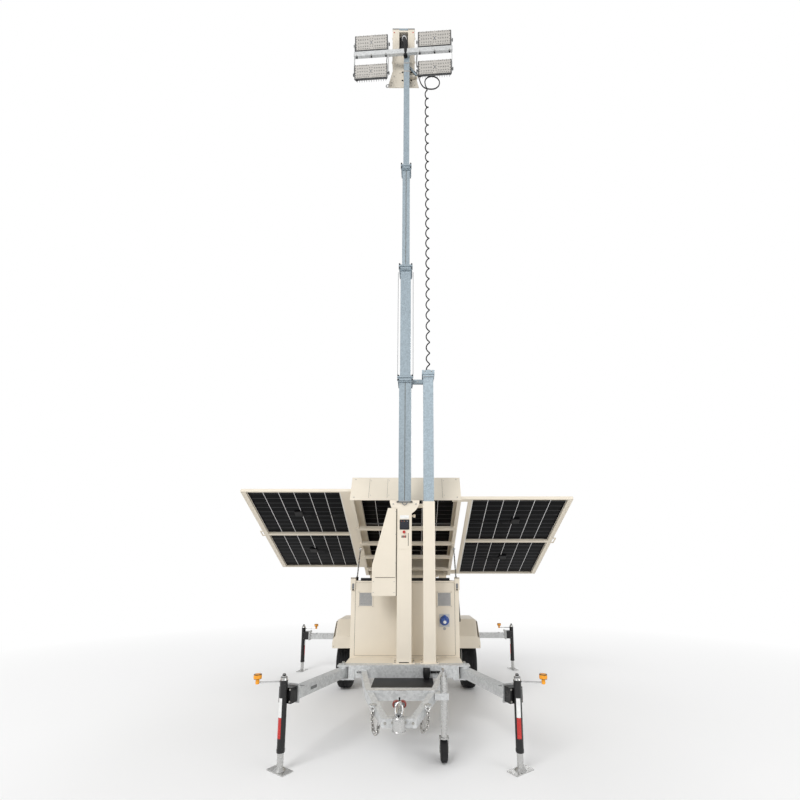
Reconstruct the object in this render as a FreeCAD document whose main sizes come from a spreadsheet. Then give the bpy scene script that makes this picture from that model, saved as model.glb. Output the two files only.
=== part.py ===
"""Mobile solar light tower on a single-axle trailer, as a parametric document.

Row frame, in millimetres: +X to the right seen from the drawbar, +Y to the rear, +Z up.
The origin is on the ground, under the middle of the whole machine. The drawbar points to -Y.
It stands as it works: jacks down, mast up, solar deck tilted and both wings drawn out.
"""
import FreeCAD
import Part
import Sketcher
import math
import os
import re

OUT = "parts"

# Driving sizes: name, millimetres (degrees where the name says so), what it is.
SIZES = [
    ("axle_y", 800, "wheel axle, from the origin to the rear"),
    ("tyre_radius", 325, "half the tyre's outer diameter"),
    ("tyre_wide", 193, "tyre section width"),
    ("rim_radius", 178, "wheel rim, 14 inch seat"),
    ("rim_wall", 6, "rim barrel thickness"),
    ("track_half", 815, "centre plane of a wheel from the middle"),
    ("hub_radius", 60, "wheel hub"),
    ("stub_radius", 25, "stub axle"),
    ("axle_side", 70, "square axle tube"),
    ("axle_trail", 140, "wheel centre behind the axle tube"),
    ("run_gap", 0.3, "running clearance of a pin, shaft or seat"),
    ("rail_x", 450, "chassis rail from the middle"),
    ("rail_wide", 60, "chassis rail width"),
    ("rail_low", 480, "underside of the chassis rails"),
    ("rail_high", 580, "top of the chassis rails"),
    ("rail_rear", 1890, "rear end of the rails"),
    ("beam_front", -732, "front face of the front cross beam"),
    ("beam_deep", 100, "front cross beam depth"),
    ("beam_high", 599, "top of the front cross beam"),
    ("beam_half", 542, "half length of the front cross beam"),
    ("pin_x", 600, "front arm's pin from the middle"),
    ("pin_y", -690, "front arm's pin"),
    ("pin_radius", 12, "front arm's pin"),
    ("ear_thick", 12, "clevis ear thickness"),
    ("ear_low", 462, "underside of the lower clevis ear"),
    ("arm_side", 85, "square outrigger tube"),
    ("arm_z", 527, "centre height of the outrigger tubes"),
    ("front_angle", 20.4, "front arm outward of straight ahead, degrees"),
    ("front_reach", 906, "front pin to jack centre"),
    ("rear_reach", 1666, "rear jack from the middle"),
    ("rear_arm_in", 250, "inner end of a rear arm from the middle"),
    ("sleeve_side", 105, "rear sleeve's outer side"),
    ("sleeve_half", 595, "rear sleeve's half length"),
    ("sleeve_left_y", 1719, "left arm's centre line"),
    ("sleeve_right_y", 1829, "right arm's centre line"),
    ("sleeve_gap", 0.5, "arm to sleeve, each side"),
    ("jack_radius", 30, "jack outer tube"),
    ("jack_bore", 26, "jack outer tube inside"),
    ("jack_low", 133, "lower end of the jack tube"),
    ("jack_high", 660, "upper end of the jack tube"),
    ("jack_cap", 24, "gear cap on the jack"),
    ("swivel_z", 540, "swivel axis height"),
    ("drum_side", 118, "swivel mount block"),
    ("drum_back", 98, "swivel mount face from the jack centre"),
    ("flange_side", 142, "flange plate on the arm's end"),
    ("flange_thick", 14, "flange plate"),
    ("leg_radius", 24, "jack leg"),
    ("leg_top", 450, "upper end of the jack leg"),
    ("pad_long", 190, "foot pad"),
    ("pad_wide", 100, "foot pad"),
    ("pad_thick", 9, "foot pad"),
    ("pad_turn", 14, "foot pad turned on the jack, degrees"),
    ("crank_reach", 198, "crank arm"),
    ("crank_turn", 31, "front crank ahead of square to its arm, degrees"),
    ("crank_drop", 12, "crank rod below the jack's top"),
    ("crank_radius", 6, "crank rod"),
    ("knob_stem", 13, "crank knob's stem radius"),
    ("knob_radius", 29, "crank knob's head"),
    ("knob_tall", 36, "crank knob's head"),
    ("box_half", 595, "battery box half width"),
    ("box_front", -346, "battery box front face"),
    ("box_rear", 1420, "battery box rear face"),
    ("box_low", 580, "underside of the box floor"),
    ("floor_z", 599, "top of the box floor and front platform"),
    ("box_high", 1413, "top of the battery box"),
    ("wall", 25, "box panel thickness"),
    ("panel_half", 547, "front panel half width"),
    ("panel_low", 617, "front panel lower edge"),
    ("panel_high", 1395, "front panel upper edge"),
    ("panel_thick", 3, "front panel stands out"),
    ("vent_x", 432, "vent centre from the middle"),
    ("vent_z", 1214, "vent centre height"),
    ("vent_side", 146, "vent opening"),
    ("vent_slats", 7, "slats in a vent"),
    ("slat_tall", 9, "vent slat height"),
    ("door_gap", 4, "gap round the rear door"),
    ("door_edge", 40, "rear frame left round the door"),
    ("battery_half", 430, "battery block half width"),
    ("battery_front", 250, "battery block front"),
    ("battery_long", 900, "battery block length"),
    ("battery_tall", 420, "battery block height"),
    ("fender_long", 900, "wheel arch length"),
    ("fender_out", 930, "wheel arch outer face"),
    ("fender_low", 574, "wheel arch lower edge"),
    ("fender_high", 910, "wheel arch top"),
    ("fender_slope", 190, "wheel arch slope at each end"),
    ("fender_wall", 8, "wheel arch thickness"),
    ("fender_round", 60, "wheel arch outer corner"),
    ("bar_rear_wide", 80, "draw rail cross member"),
    ("draw_wide", 50, "draw rail width"),
    ("draw_tall", 80, "draw rail height"),
    ("draw_root_x", 390, "draw rail at the front beam"),
    ("draw_mid_x", 270, "draw rail at the cross bar"),
    ("draw_mid_y", -1390, "draw cross bar"),
    ("draw_nose_x", 100, "draw rail at the nose"),
    ("draw_nose_y", -1800, "draw rail nose"),
    ("draw_high", 552, "top of the draw rails"),
    ("nose_high", 460, "top of the nose plate"),
    ("nose_low", 396, "underside of the nose plate"),
    ("ball_y", -1852, "coupling ball centre"),
    ("ball_z", 418, "coupling ball centre height"),
    ("ball_radius", 25, "coupling socket for a 50 ball"),
    ("socket_deep", 36, "coupling socket depth"),
    ("cup_radius", 46, "coupling cup"),
    ("tray_half", 285, "drawbar box half width"),
    ("tray_ahead", 380, "drawbar box in front of the cross beam"),
    ("tray_under", 60, "drawbar box run under the cross beam"),
    ("tray_tall", 85, "drawbar box height"),
    ("chain_y", -1650, "safety chain eyes"),
    ("chain_x", 210, "safety chain eye from the middle"),
    ("chain_z", 480, "safety chain eye height"),
    ("link_radius", 14, "chain link, to the middle of its wire"),
    ("link_wire", 4, "chain link wire radius"),
    ("chain_links", 9, "links in each safety chain"),
    ("jockey_x", 345, "jockey wheel from the middle"),
    ("jockey_y", -1424, "jockey tube"),
    ("jockey_high", 660, "top of the jockey outer tube"),
    ("jockey_low", 330, "lower end of the jockey outer tube"),
    ("jockey_radius", 28.5, "jockey outer tube"),
    ("jockey_leg_radius", 24, "jockey inner tube"),
    ("jockey_leg_low", 200, "lower end of the jockey inner tube"),
    ("jockey_wheel_radius", 90, "jockey wheel"),
    ("jockey_wheel_wide", 56, "jockey wheel"),
    ("jockey_trail", 40, "jockey wheel behind its swivel"),
    ("fork_thick", 6, "jockey fork plate"),
    ("mast_y", -600, "mast centre line"),
    ("column_side", 150, "mast column"),
    ("column_high", 2254, "top of both columns"),
    ("cable_x", 258, "cable column from the middle"),
    ("cable_side", 125, "cable column"),
    ("cable_tube_side", 112, "cable tube in the cable column"),
    ("cable_tube_high", 3664, "top of the cable tube"),
    ("cable_cap_high", 3750, "top of the cable tube's cap"),
    ("tube_wall", 4, "wall of the columns and mast tubes"),
    ("collar_first", 3679, "top of the first mast section"),
    ("mast_step", 1397, "from one collar to the next"),
    ("collar_tall", 74, "mast collar"),
    ("collar_over", 14, "collar round its tube"),
    ("ear_out", 22, "collar clamp ears"),
    ("mast_lap", 210, "mast section left in the one below"),
    ("section_a", 134, "first mast section"),
    ("section_b", 118, "second mast section"),
    ("section_c", 88, "third mast section"),
    ("section_d", 72, "fourth mast section"),
    ("saddle_radius", 158, "half-round saddle on the column"),
    ("saddle_thick", 12, "half-round saddle"),
    ("cover_left", 335, "winch cover reaches left of the middle"),
    ("cover_top_left", 176, "winch cover at its top"),
    ("cover_high", 2179, "top of the winch cover"),
    ("cover_knee", 1579, "where the winch cover's slope ends"),
    ("cover_low", 1264, "underside of the winch cover"),
    ("cover_deep", 140, "winch cover depth"),
    ("cord_radius", 27, "outer radius of the curly cord"),
    ("cord_low", 2080, "lower end of the curly cord, in the cable tube"),
    ("cord_high", 7700, "upper end of the curly cord"),
    ("cord_wire", 7, "radius of the cord's own wire"),
    ("loop_radius", 103, "cord loop at the head"),
    ("loop_x", 333, "cord loop centre from the middle"),
    ("loop_z", 7848, "cord loop centre height"),
    ("head_turn", -3, "head turned on the mast, degrees"),
    ("head_x", -45, "head's middle, sideways"),
    ("head_ahead", 62, "lamp bar in front of the mast line"),
    ("bar_z", 8168, "lamp bar centre height"),
    ("bar_half", 635, "lamp bar half length"),
    ("bar_tall", 70, "lamp bar height"),
    ("bar_deep", 30, "lamp bar depth"),
    ("lamp_x", 410, "lamp centre along the bar"),
    ("lamp_up", 160, "upper lamps above the bar"),
    ("lamp_down", 298, "lower lamps below the bar"),
    ("lamp_wide", 430, "lamp housing"),
    ("lamp_tall", 190, "lamp housing"),
    ("lamp_deep", 62, "lamp housing"),
    ("lamp_ahead", -10, "lamp pivot in front of the bar, behind it below zero"),
    ("lamp_tip_up", 12, "upper lamps tipped down, degrees"),
    ("lamp_tip_low", 8, "lower lamps tipped down, degrees"),
    ("yoke_thick", 5, "lamp yoke plate"),
    ("yoke_wide", 34, "lamp yoke plate"),
    ("lamp_pin", 8, "lamp pivot radius"),
    ("house_half", 148, "head housing half width"),
    ("house_low", 8205, "head housing lower edge"),
    ("house_high", 8775, "head housing top"),
    ("house_deep", 95, "head housing depth"),
    ("plate_low", 7797, "head bracket lower edge"),
    ("plate_half", 204, "head bracket half width at its foot"),
    ("plate_top_half", 70, "head bracket half width at its top"),
    ("plate_thick", 8, "head bracket plate"),
    ("plate_back", 62, "head bracket plate behind the mast line"),
    ("hinge_y", 1400, "solar deck hinge"),
    ("hinge_z", 1475, "solar deck hinge height"),
    ("hinge_pin", 12, "solar deck hinge pin"),
    ("deck_tilt", 27, "solar deck tilt, degrees"),
    ("deck_half", 645, "solar deck half width"),
    ("deck_back", 34, "deck's rear face from the hinge"),
    ("deck_long", 1915, "deck's front face from the hinge"),
    ("deck_low", -12, "underside of the deck from the hinge"),
    ("deck_high", 330, "top of the deck from the hinge"),
    ("sheet", 5, "deck sheet thickness"),
    ("rib_wide", 45, "deck cross beam"),
    ("rib_tall", 40, "deck cross beam"),
    ("rib_first", 230, "rearmost deck cross beam"),
    ("rib_step", 365, "from one deck cross beam to the next"),
    ("guide_rear", 400, "rear guide beam of the upper wing"),
    ("guide_front", 1852, "front guide beam of the upper wing"),
    ("rim_top", 40, "deck rim round the fixed module"),
    ("level_low", 31, "right wing's middle plane from the hinge"),
    ("level_step", 114, "left wing above the right one"),
    ("wing_thick", 40, "wing frame"),
    ("wing_out", 1950, "outer edge of a wing"),
    ("wing_in", 545, "inner edge of a wing"),
    ("wing_edge", 58, "wing frame's outer rail"),
    ("wing_rim", 18, "wing frame's front and rear rails"),
    ("wing_mid", 46, "wing frame's middle rail"),
    ("wing_back", 42, "wing's rear edge from the hinge"),
    ("wing_front", 1904, "wing's front edge from the hinge"),
    ("cells_in", 786, "inner edge of the wing's cells"),
    ("wing_rail", 50, "lower wing's inner rail"),
    ("glass", 6, "solar laminate"),
    ("handle_out", 48, "wing handle"),
    ("handle_half", 60, "wing handle"),
    ("handle_bar", 12, "wing handle"),
    ("strut_x", 635, "deck strut from the middle"),
    ("strut_low_y", 50, "lower strut pin"),
    ("strut_low_z", 950, "lower strut pin height"),
    ("strut_up_l", 874, "upper strut pin from the hinge"),
    ("strut_up_h", -45, "upper strut pin below the hinge plane"),
    ("strut_pin", 8, "strut pin radius"),
    ("barrel_radius", 18, "strut barrel"),
    ("barrel_long", 590, "strut barrel length from its pin"),
    ("rod_radius", 8, "strut rod"),
    ("rod_in", 95, "strut rod left in its barrel"),
    ("latch_wide", 54, "corner post on the box"),
    ("latch_low", 1313, "corner post lower end"),
    ("latch_high", 1452, "corner post top"),
]

ALIASES = {row[0] for row in SIZES}
VALUE = {row[0]: float(row[1]) for row in SIZES}
WORD = re.compile(r"[a-z][a-z_]*")

doc = FreeCAD.newDocument("light_tower")
sheet = doc.addObject("Spreadsheet::Sheet", "sizes")
for row_number, (alias, number, note) in enumerate(SIZES, start=1):
    sheet.set(f"A{row_number}", alias)
    sheet.set(f"B{row_number}", str(number))
    sheet.set(f"C{row_number}", note)
    sheet.setAlias(f"B{row_number}", alias)
doc.recompute()

NODES = []


def bound(text):
    """The expression with each alias named as the sheet's own cell."""
    return WORD.sub(lambda m: "sizes." + m[0] if m[0] in ALIASES else m[0], str(text))


def bind(item, **texts):
    """Bind an object's properties to expressions of the sheet."""
    for key, text in texts.items():
        item.setExpression(key.replace("__", "."), bound(text))
    return item


def rotation(axis, turn):
    """A turn in degrees about an axis, as an expression."""
    line = "create(<<vector>>; {}; {}; {})".format(*axis)
    return f"create(<<rotation>>; {line}; {turn})"


def at(item, x="0", y="0", z="0", axis=(0, 0, 1), turn="0", first=None):
    """Bind an object's placement: a point and a turn about an axis, after an optional first turn."""
    turns = rotation(axis, turn)
    if first:
        turns += " * " + rotation(*first)
    text = f"create(<<placement>>; create(<<vector>>; {x}; {y}; {z}); {turns})"
    item.setExpression("Placement", bound(text))
    return item


def block(x, y, z, name="block"):
    """A box between two bounds on each axis, each bound an expression."""
    item = doc.addObject("Part::Box", name)
    bind(item, Length=f"({x[1]}) - ({x[0]})", Width=f"({y[1]}) - ({y[0]})", Height=f"({z[1]}) - ({z[0]})")
    return at(item, x[0], y[0], z[0])


TURNS = {"x": ((0, 1, 0), "90"), "y": ((1, 0, 0), "-90"), "z": ((0, 0, 1), "0")}


def rod(along, x, y, z, radius, length, name="rod"):
    """A cylinder from a point along +X, +Y or +Z."""
    item = doc.addObject("Part::Cylinder", name)
    bind(item, Radius=radius, Height=length)
    return at(item, x, y, z, *TURNS[along])


def join(pieces, name="joined"):
    """Pieces fused to one shape."""
    if len(pieces) == 1:
        return pieces[0]
    item = doc.addObject("Part::MultiFuse", name)
    item.Shapes = pieces
    item.Refine = True
    return item


def less(base, tools, name="cut"):
    """A base with tools cut from it."""
    item = doc.addObject("Part::Cut", name)
    item.Base = base
    item.Tool = tools[0] if len(tools) == 1 else join(tools, name + "_tools")
    item.Refine = True
    return item


def apart(pieces, name="group"):
    """Like pieces that don't touch, in one node."""
    item = doc.addObject("Part::Compound", name)
    item.Links = pieces
    return item


def node(item, label):
    """Name a finished sub-part and list it for export."""
    item.Label = label
    NODES.append(item)
    return item


def side(hand, low, high):
    """Bounds on X mirrored for the left hand."""
    return (low, high) if hand > 0 else (f"-({high})", f"-({low})")


def square(x, y, half_x, half_y):
    """Bounds on X and Y round a centre."""
    return (f"{x} - ({half_x})", f"{x} + ({half_x})"), (f"{y} - ({half_y})", f"{y} + ({half_y})")


def outline(body, role, points, name):
    """A closed sketch of straight lines on one of the body's origin planes, each point bound."""
    sketch = body.newObject("Sketcher::SketchObject", name)
    plane = [part for part in body.Origin.OriginFeatures if part.Role == role][0]
    sketch.AttachmentSupport = [(plane, "")]
    sketch.MapMode = "FlatFace"
    count = len(points)
    spots = [FreeCAD.Vector(number(u), number(v), 0) for u, v in points]
    for i in range(count):
        sketch.addGeometry(Part.LineSegment(spots[i], spots[(i + 1) % count]), False)
    for i in range(count):
        sketch.addConstraint(line_link(i, (i + 1) % count))
    for i, (u, v) in enumerate(points):
        for kind, text in (("DistanceX", u), ("DistanceY", v)):
            index = sketch.addConstraint(line_size(kind, i, number(text)))
            sketch.setExpression(f"Constraints[{index}]", bound(text))
    return sketch


def number(text):
    """An expression's value now, for a sketch's first drawing."""
    return float(doc.sizes.evalExpression(bound(text)))


def line_link(first, second):
    """End of one line on the start of the next."""
    return Sketcher.Constraint("Coincident", first, 2, second, 1)


def line_size(kind, line, size):
    """Distance of a line's start from the sketch's origin."""
    return Sketcher.Constraint(kind, -1, 1, line, 1, size)


def padded(role, points, length, name):
    """A PartDesign body: one outline padded both ways from its plane."""
    body = doc.addObject("PartDesign::Body", name)
    sketch = outline(body, role, points, name + "_sketch")
    pad = body.newObject("PartDesign::Pad", name + "_pad")
    pad.Profile = sketch
    pad.Midplane = True
    pad.setExpression("Length", bound(length))
    body.Tip = pad
    return body


def turned(points, name):
    """A PartDesign body: one outline of (along X, radius) turned about the X axis."""
    body = doc.addObject("PartDesign::Body", name)
    sketch = outline(body, "XZ_Plane", points, name + "_sketch")
    turn = body.newObject("PartDesign::Revolution", name + "_turn")
    turn.Profile = sketch
    turn.ReferenceAxis = (sketch, ["H_Axis"])
    turn.Angle = 360.0
    body.Tip = turn
    return body


def lofted(sections, name):
    """A straight-sided bar through rectangular sections (y, x low, x high, z low, z high)."""
    wires = []
    for y, x_low, x_high, z_low, z_high in [[number(text) for text in row] for row in sections]:
        corners = [(x_low, z_low), (x_high, z_low), (x_high, z_high), (x_low, z_high), (x_low, z_low)]
        wires.append(Part.makePolygon([FreeCAD.Vector(x, y, z) for x, z in corners]))
    item = doc.addObject("Part::Feature", name)
    item.Shape = Part.makeLoft(wires, True, True)
    return item


def rounded(item, pick, radius, name):
    """Fillet the edges whose bounding boxes the test picks."""
    doc.recompute()
    edges = [i for i, edge in enumerate(item.Shape.Edges, start=1) if pick(edge.BoundBox)]
    fillet = doc.addObject("Part::Fillet", name)
    fillet.Base = item
    fillet.Edges = [(i, VALUE[radius], VALUE[radius]) for i in edges]
    return fillet


def square_tube(x, y, z_low, z_high, outer, inner, name):
    """An upright square tube round a centre line."""
    x_out, y_out = square(x, y, f"({outer})/2", f"({outer})/2")
    x_in, y_in = square(x, y, f"({inner})/2", f"({inner})/2")
    return less(block(x_out, y_out, (z_low, z_high)), [block(x_in, y_in, (z_low, z_high))], name)


def wheels():
    """Both road wheels: a tyre turned from its section, and a pressed rim with its hub."""
    half = "tyre_wide/2"
    seat = "rim_radius + run_gap"
    tyre = [("-(tyre_wide/3)", seat), ("tyre_wide/3", seat), (half, "tyre_radius - 82")]
    tyre += [(f"{half} - 5", "tyre_radius - 26"), (f"{half} - 20", "tyre_radius - 5"), (f"{half} - 42", "tyre_radius")]
    tyre += [(f"-({u})", v) for u, v in reversed(tyre[2:])]
    lip = "rim_radius - rim_wall"
    bore = "stub_radius + run_gap"
    rim = [("-66", lip), ("12", lip), ("12", "hub_radius"), ("-52", "hub_radius"), ("-52", bore), ("44", bore)]
    rim += [("44", "hub_radius"), ("20", "hub_radius"), ("20", lip), ("66", lip), ("66", "rim_radius")]
    rim += [("-66", "rim_radius")]
    for hand, word in ((1, "right"), (-1, "left")):
        turn = "0" if hand > 0 else "180"
        spot = (f"{hand}*track_half", "axle_y", "tyre_radius")
        node(at(turned(tyre, "tyre_" + word), *spot, turn=turn), "tyre_" + word)
        holes = []
        for k in range(6):
            y = f"axle_y + 118*cos({k}*60)"
            z = f"tyre_radius + 118*sin({k}*60)"
            holes.append(rod("x", f"{hand}*track_half - 40", y, z, "24", "80"))
        body = at(turned(rim, "rim_body_" + word), *spot, turn=turn)
        node(less(body, holes, "rim_cut_" + word), "rim_" + word)


def axle():
    """Torsion axle: a square tube under the rails, trailing arms and stub axles."""
    tube_y = "axle_y - axle_trail"
    low = "rail_low - axle_side"
    tube = block(("-660", "660"), (f"{tube_y} - axle_side/2", f"{tube_y} + axle_side/2"), (low, "rail_low"))
    front = f"{tube_y} - axle_side/2"
    arm = [(front, "rail_low"), (f"{tube_y} + axle_side/2", "rail_low"), ("axle_y + 36", "tyre_radius + 20")]
    arm += [("axle_y + 36", "tyre_radius - 36"), ("axle_y - 36", "tyre_radius - 36"), (front, low)]
    pieces = [tube]
    for hand in (1, -1):
        pieces.append(at(padded("YZ_Plane", arm, "40", "trailing_arm"), f"{hand}*640"))
        pieces.append(rod("x", "640" if hand > 0 else "-(track_half + 40)", "axle_y", "tyre_radius",
                          "stub_radius", "track_half + 40 - 640"))
    node(join(pieces, "axle_set"), "axle")


def chassis():
    """Rails, front cross beam with the clevis ears, and the two rear sleeves."""
    rails = [block(side(hand, "rail_x - rail_wide/2", "rail_x + rail_wide/2"),
                   ("beam_front + beam_deep", "rail_rear"), ("rail_low", "rail_high")) for hand in (1, -1)]
    beam = block(("-beam_half", "beam_half"), ("beam_front", "beam_front + beam_deep"), ("rail_low", "beam_high"))
    pieces = rails + [beam]
    for hand in (1, -1):
        for low in ("ear_low", "beam_high - ear_thick"):
            pieces.append(block(side(hand, "beam_half - 60", "pin_x + 52"), ("pin_y - 50", "pin_y + 50"),
                                (low, f"{low} + ear_thick")))
        pieces.append(block(side(hand, "beam_half - 60", "beam_half"), ("pin_y - 50", "pin_y + 50"),
                            ("ear_low", "beam_high")))
        pieces.append(rod("z", f"{hand}*pin_x", "pin_y", "ear_low - 12", "pin_radius", "beam_high - ear_low + 26"))
    bores = []
    for y in ("sleeve_left_y", "sleeve_right_y"):
        y_out = (f"{y} - sleeve_side/2", f"{y} + sleeve_side/2")
        y_in = (f"{y} - arm_side/2 - sleeve_gap", f"{y} + arm_side/2 + sleeve_gap")
        pieces.append(block(("-sleeve_half", "sleeve_half"), y_out, ("arm_z - sleeve_side/2", "arm_z + sleeve_side/2")))
        bores.append(block(("-sleeve_half - 5", "sleeve_half + 5"), y_in,
                           ("arm_z - arm_side/2 - sleeve_gap", "arm_z + arm_side/2 + sleeve_gap")))
    pieces.append(block(("-sleeve_half", "sleeve_half"), ("rail_rear", "rail_rear + 8"), ("rail_low", "rail_high + 10")))
    node(less(join(pieces, "chassis_set"), bores, "chassis_cut"), "chassis_frame")
    lamps = [block(side(hand, "sleeve_half - 170", "sleeve_half - 15"), ("rail_rear + 8", "rail_rear + 42"),
                   ("rail_low + 15", "rail_high - 5")) for hand in (1, -1)]
    node(apart(lamps, "lamps_rear"), "rear_lamps")


def drawbar():
    """A-frame with its cross bar, nose plate, jockey clamp and chain eyes, and what it carries."""
    half = "draw_wide/2"
    pieces = []
    for hand in (1, -1):
        stations = (("beam_front", "draw_root_x", "draw_high - draw_tall", "draw_high"),
                    ("draw_mid_y", "draw_mid_x", "draw_high - draw_tall", "draw_high"),
                    ("draw_nose_y", "draw_nose_x", "nose_low", "nose_high"))
        rows = [(y, f"{hand}*{x} - {half}", f"{hand}*{x} + {half}", low, high) for y, x, low, high in stations]
        pieces.append(lofted(rows, "draw_rail"))
        eye = doc.addObject("Part::Torus", "chain_eye")
        bind(eye, Radius1="link_radius", Radius2="link_wire")
        pieces.append(at(eye, f"{hand}*chain_x", "chain_y", "chain_z", (0, 1, 0), "0", ((1, 0, 0), "90")))
        pieces.append(block(side(hand, "chain_x - link_radius - 16", "chain_x - link_radius + 2"),
                            ("chain_y - 5", "chain_y + 5"), ("chain_z - 6", "chain_z + 6")))
    pieces.append(block(("-draw_mid_x", "draw_mid_x"), ("draw_mid_y - bar_rear_wide/2", "draw_mid_y + bar_rear_wide/2"),
                        ("draw_high - draw_tall", "draw_high")))
    pieces.append(block((f"-draw_nose_x - {half}", f"draw_nose_x + {half}"), ("draw_nose_y", "draw_nose_y + 60"),
                        ("nose_low", "nose_high")))
    clamp = block(("draw_mid_x", "jockey_x + jockey_radius + 10"), ("jockey_y - 42", "jockey_y + 42"),
                  ("draw_high - 66", "draw_high - 16"))
    frame = less(join(pieces + [clamp], "draw_set"),
                 [rod("z", "jockey_x", "jockey_y", "draw_high - 80", "jockey_radius + run_gap", "100")], "draw_cut")
    node(frame, "drawbar")
    cup = rod("z", "0", "ball_y", "ball_z - 26", "cup_radius", "nose_high + 24 - ball_z + 26")
    socket = rod("z", "0", "ball_y", "ball_z - 27", "ball_radius", "socket_deep + 1")
    neck = lofted([("ball_y", "-34", "34", "nose_high", "nose_high + 24"),
                   ("draw_nose_y + 260", "-30", "30", "nose_high", "nose_high + 46")], "neck")
    lever = lofted([("ball_y + 20", "-16", "16", "nose_high + 10", "nose_high + 44"),
                    ("draw_nose_y + 150", "-13", "13", "nose_high + 44", "nose_high + 66")], "lever")
    node(less(join([cup, neck, lever], "coupling_set"), [socket], "coupling_cut"), "coupling")
    node(block(("-tray_half", "tray_half"), ("beam_front - tray_ahead", "beam_front + tray_under"),
               ("rail_low - tray_tall", "rail_low")), "drawbar_box")
    links = []
    for hand in (1, -1):
        for k in range(int(VALUE["chain_links"])):
            link = doc.addObject("Part::Torus", "link")
            bind(link, Radius1="link_radius", Radius2="link_wire")
            drop = f"chain_z - {k + 1}*(2*link_radius - 2*link_wire - 1)"
            tip = ((1, 0, 0), "90") if k % 2 else ((0, 1, 0), "90")
            links.append(at(link, f"{hand}*chain_x", "chain_y", drop, *tip))
    node(apart(links, "chains"), "safety_chains")


def jockey():
    """Jockey wheel: clamped outer tube, sliding leg, swivelling fork and wheel."""
    x, y = "jockey_x", "jockey_y"
    tube = less(rod("z", x, y, "jockey_low", "jockey_radius", "jockey_high - jockey_low"),
                [rod("z", x, y, "jockey_low - 1", "jockey_leg_radius + run_gap", "jockey_high - jockey_low - 14")])
    head = rod("z", x, y, "jockey_high", "14", "30")
    crank = block((f"{x} - 9", f"{x} + 9"), (f"{y} - 9", f"{y} + 130"), ("jockey_high + 24", "jockey_high + 36"))
    node(join([tube, head, crank], "jockey_tube_set"), "jockey_tube")
    leg = rod("z", x, y, "jockey_leg_low", "jockey_leg_radius", "jockey_high - 130 - jockey_leg_low")
    pin_hole = rod("z", x, y, "jockey_leg_low - 1", "pin_radius - 2 + run_gap", "46")
    node(less(leg, [pin_hole], "jockey_leg_cut"), "jockey_leg")
    plate_top = "jockey_leg_low - run_gap"
    wheel_y, wheel_z = f"{y} + jockey_trail", "jockey_wheel_radius"
    inner = "(jockey_wheel_wide/2 + 4)"
    fork = [rod("z", x, y, f"{plate_top} - 12", "32", "12"),
            rod("z", x, y, f"{plate_top} - 6", "pin_radius - 2", "44"),
            block((f"{x} - {inner} - fork_thick", f"{x} + {inner} + fork_thick"), (f"{y} - 20", f"{wheel_y} + 14"),
                  (f"{plate_top} - 12", f"{plate_top} - 6"))]
    for hand in (1, -1):
        low, high = (inner, f"{inner} + fork_thick") if hand > 0 else (f"-({inner} + fork_thick)", f"-({inner})")
        fork.append(block((f"{x} + {low}", f"{x} + {high}"), (f"{wheel_y} - 26", f"{wheel_y} + 14"),
                          (f"{wheel_z} - 14", f"{plate_top} - 6")))
    fork.append(rod("x", f"{x} - {inner} - fork_thick", wheel_y, wheel_z, "lamp_pin", f"2*({inner} + fork_thick)"))
    node(join(fork, "fork_set"), "jockey_fork")
    half = "jockey_wheel_wide/2"
    hub = f"{inner} - run_gap"
    bore = "lamp_pin + run_gap"
    ring = [(f"-({hub})", bore), (hub, bore), (hub, "20"), (half, "20"), (half, "jockey_wheel_radius - 14")]
    ring += [(f"{half} - 8", "jockey_wheel_radius"), (f"-({half} - 8)", "jockey_wheel_radius")]
    ring += [(f"-({half})", "jockey_wheel_radius - 14"), (f"-({half})", "20"), (f"-({hub})", "20")]
    node(at(turned(ring, "jockey_ring"), x, wheel_y, wheel_z), "jockey_wheel")


# Outriggers: name, side, pin or sleeve line, turn of the arm from straight ahead, crank direction.
OUTRIGGERS = [
    ("front_right", 1, "front"),
    ("front_left", -1, "front"),
    ("rear_right", 1, "rear"),
    ("rear_left", -1, "rear"),
]


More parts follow.
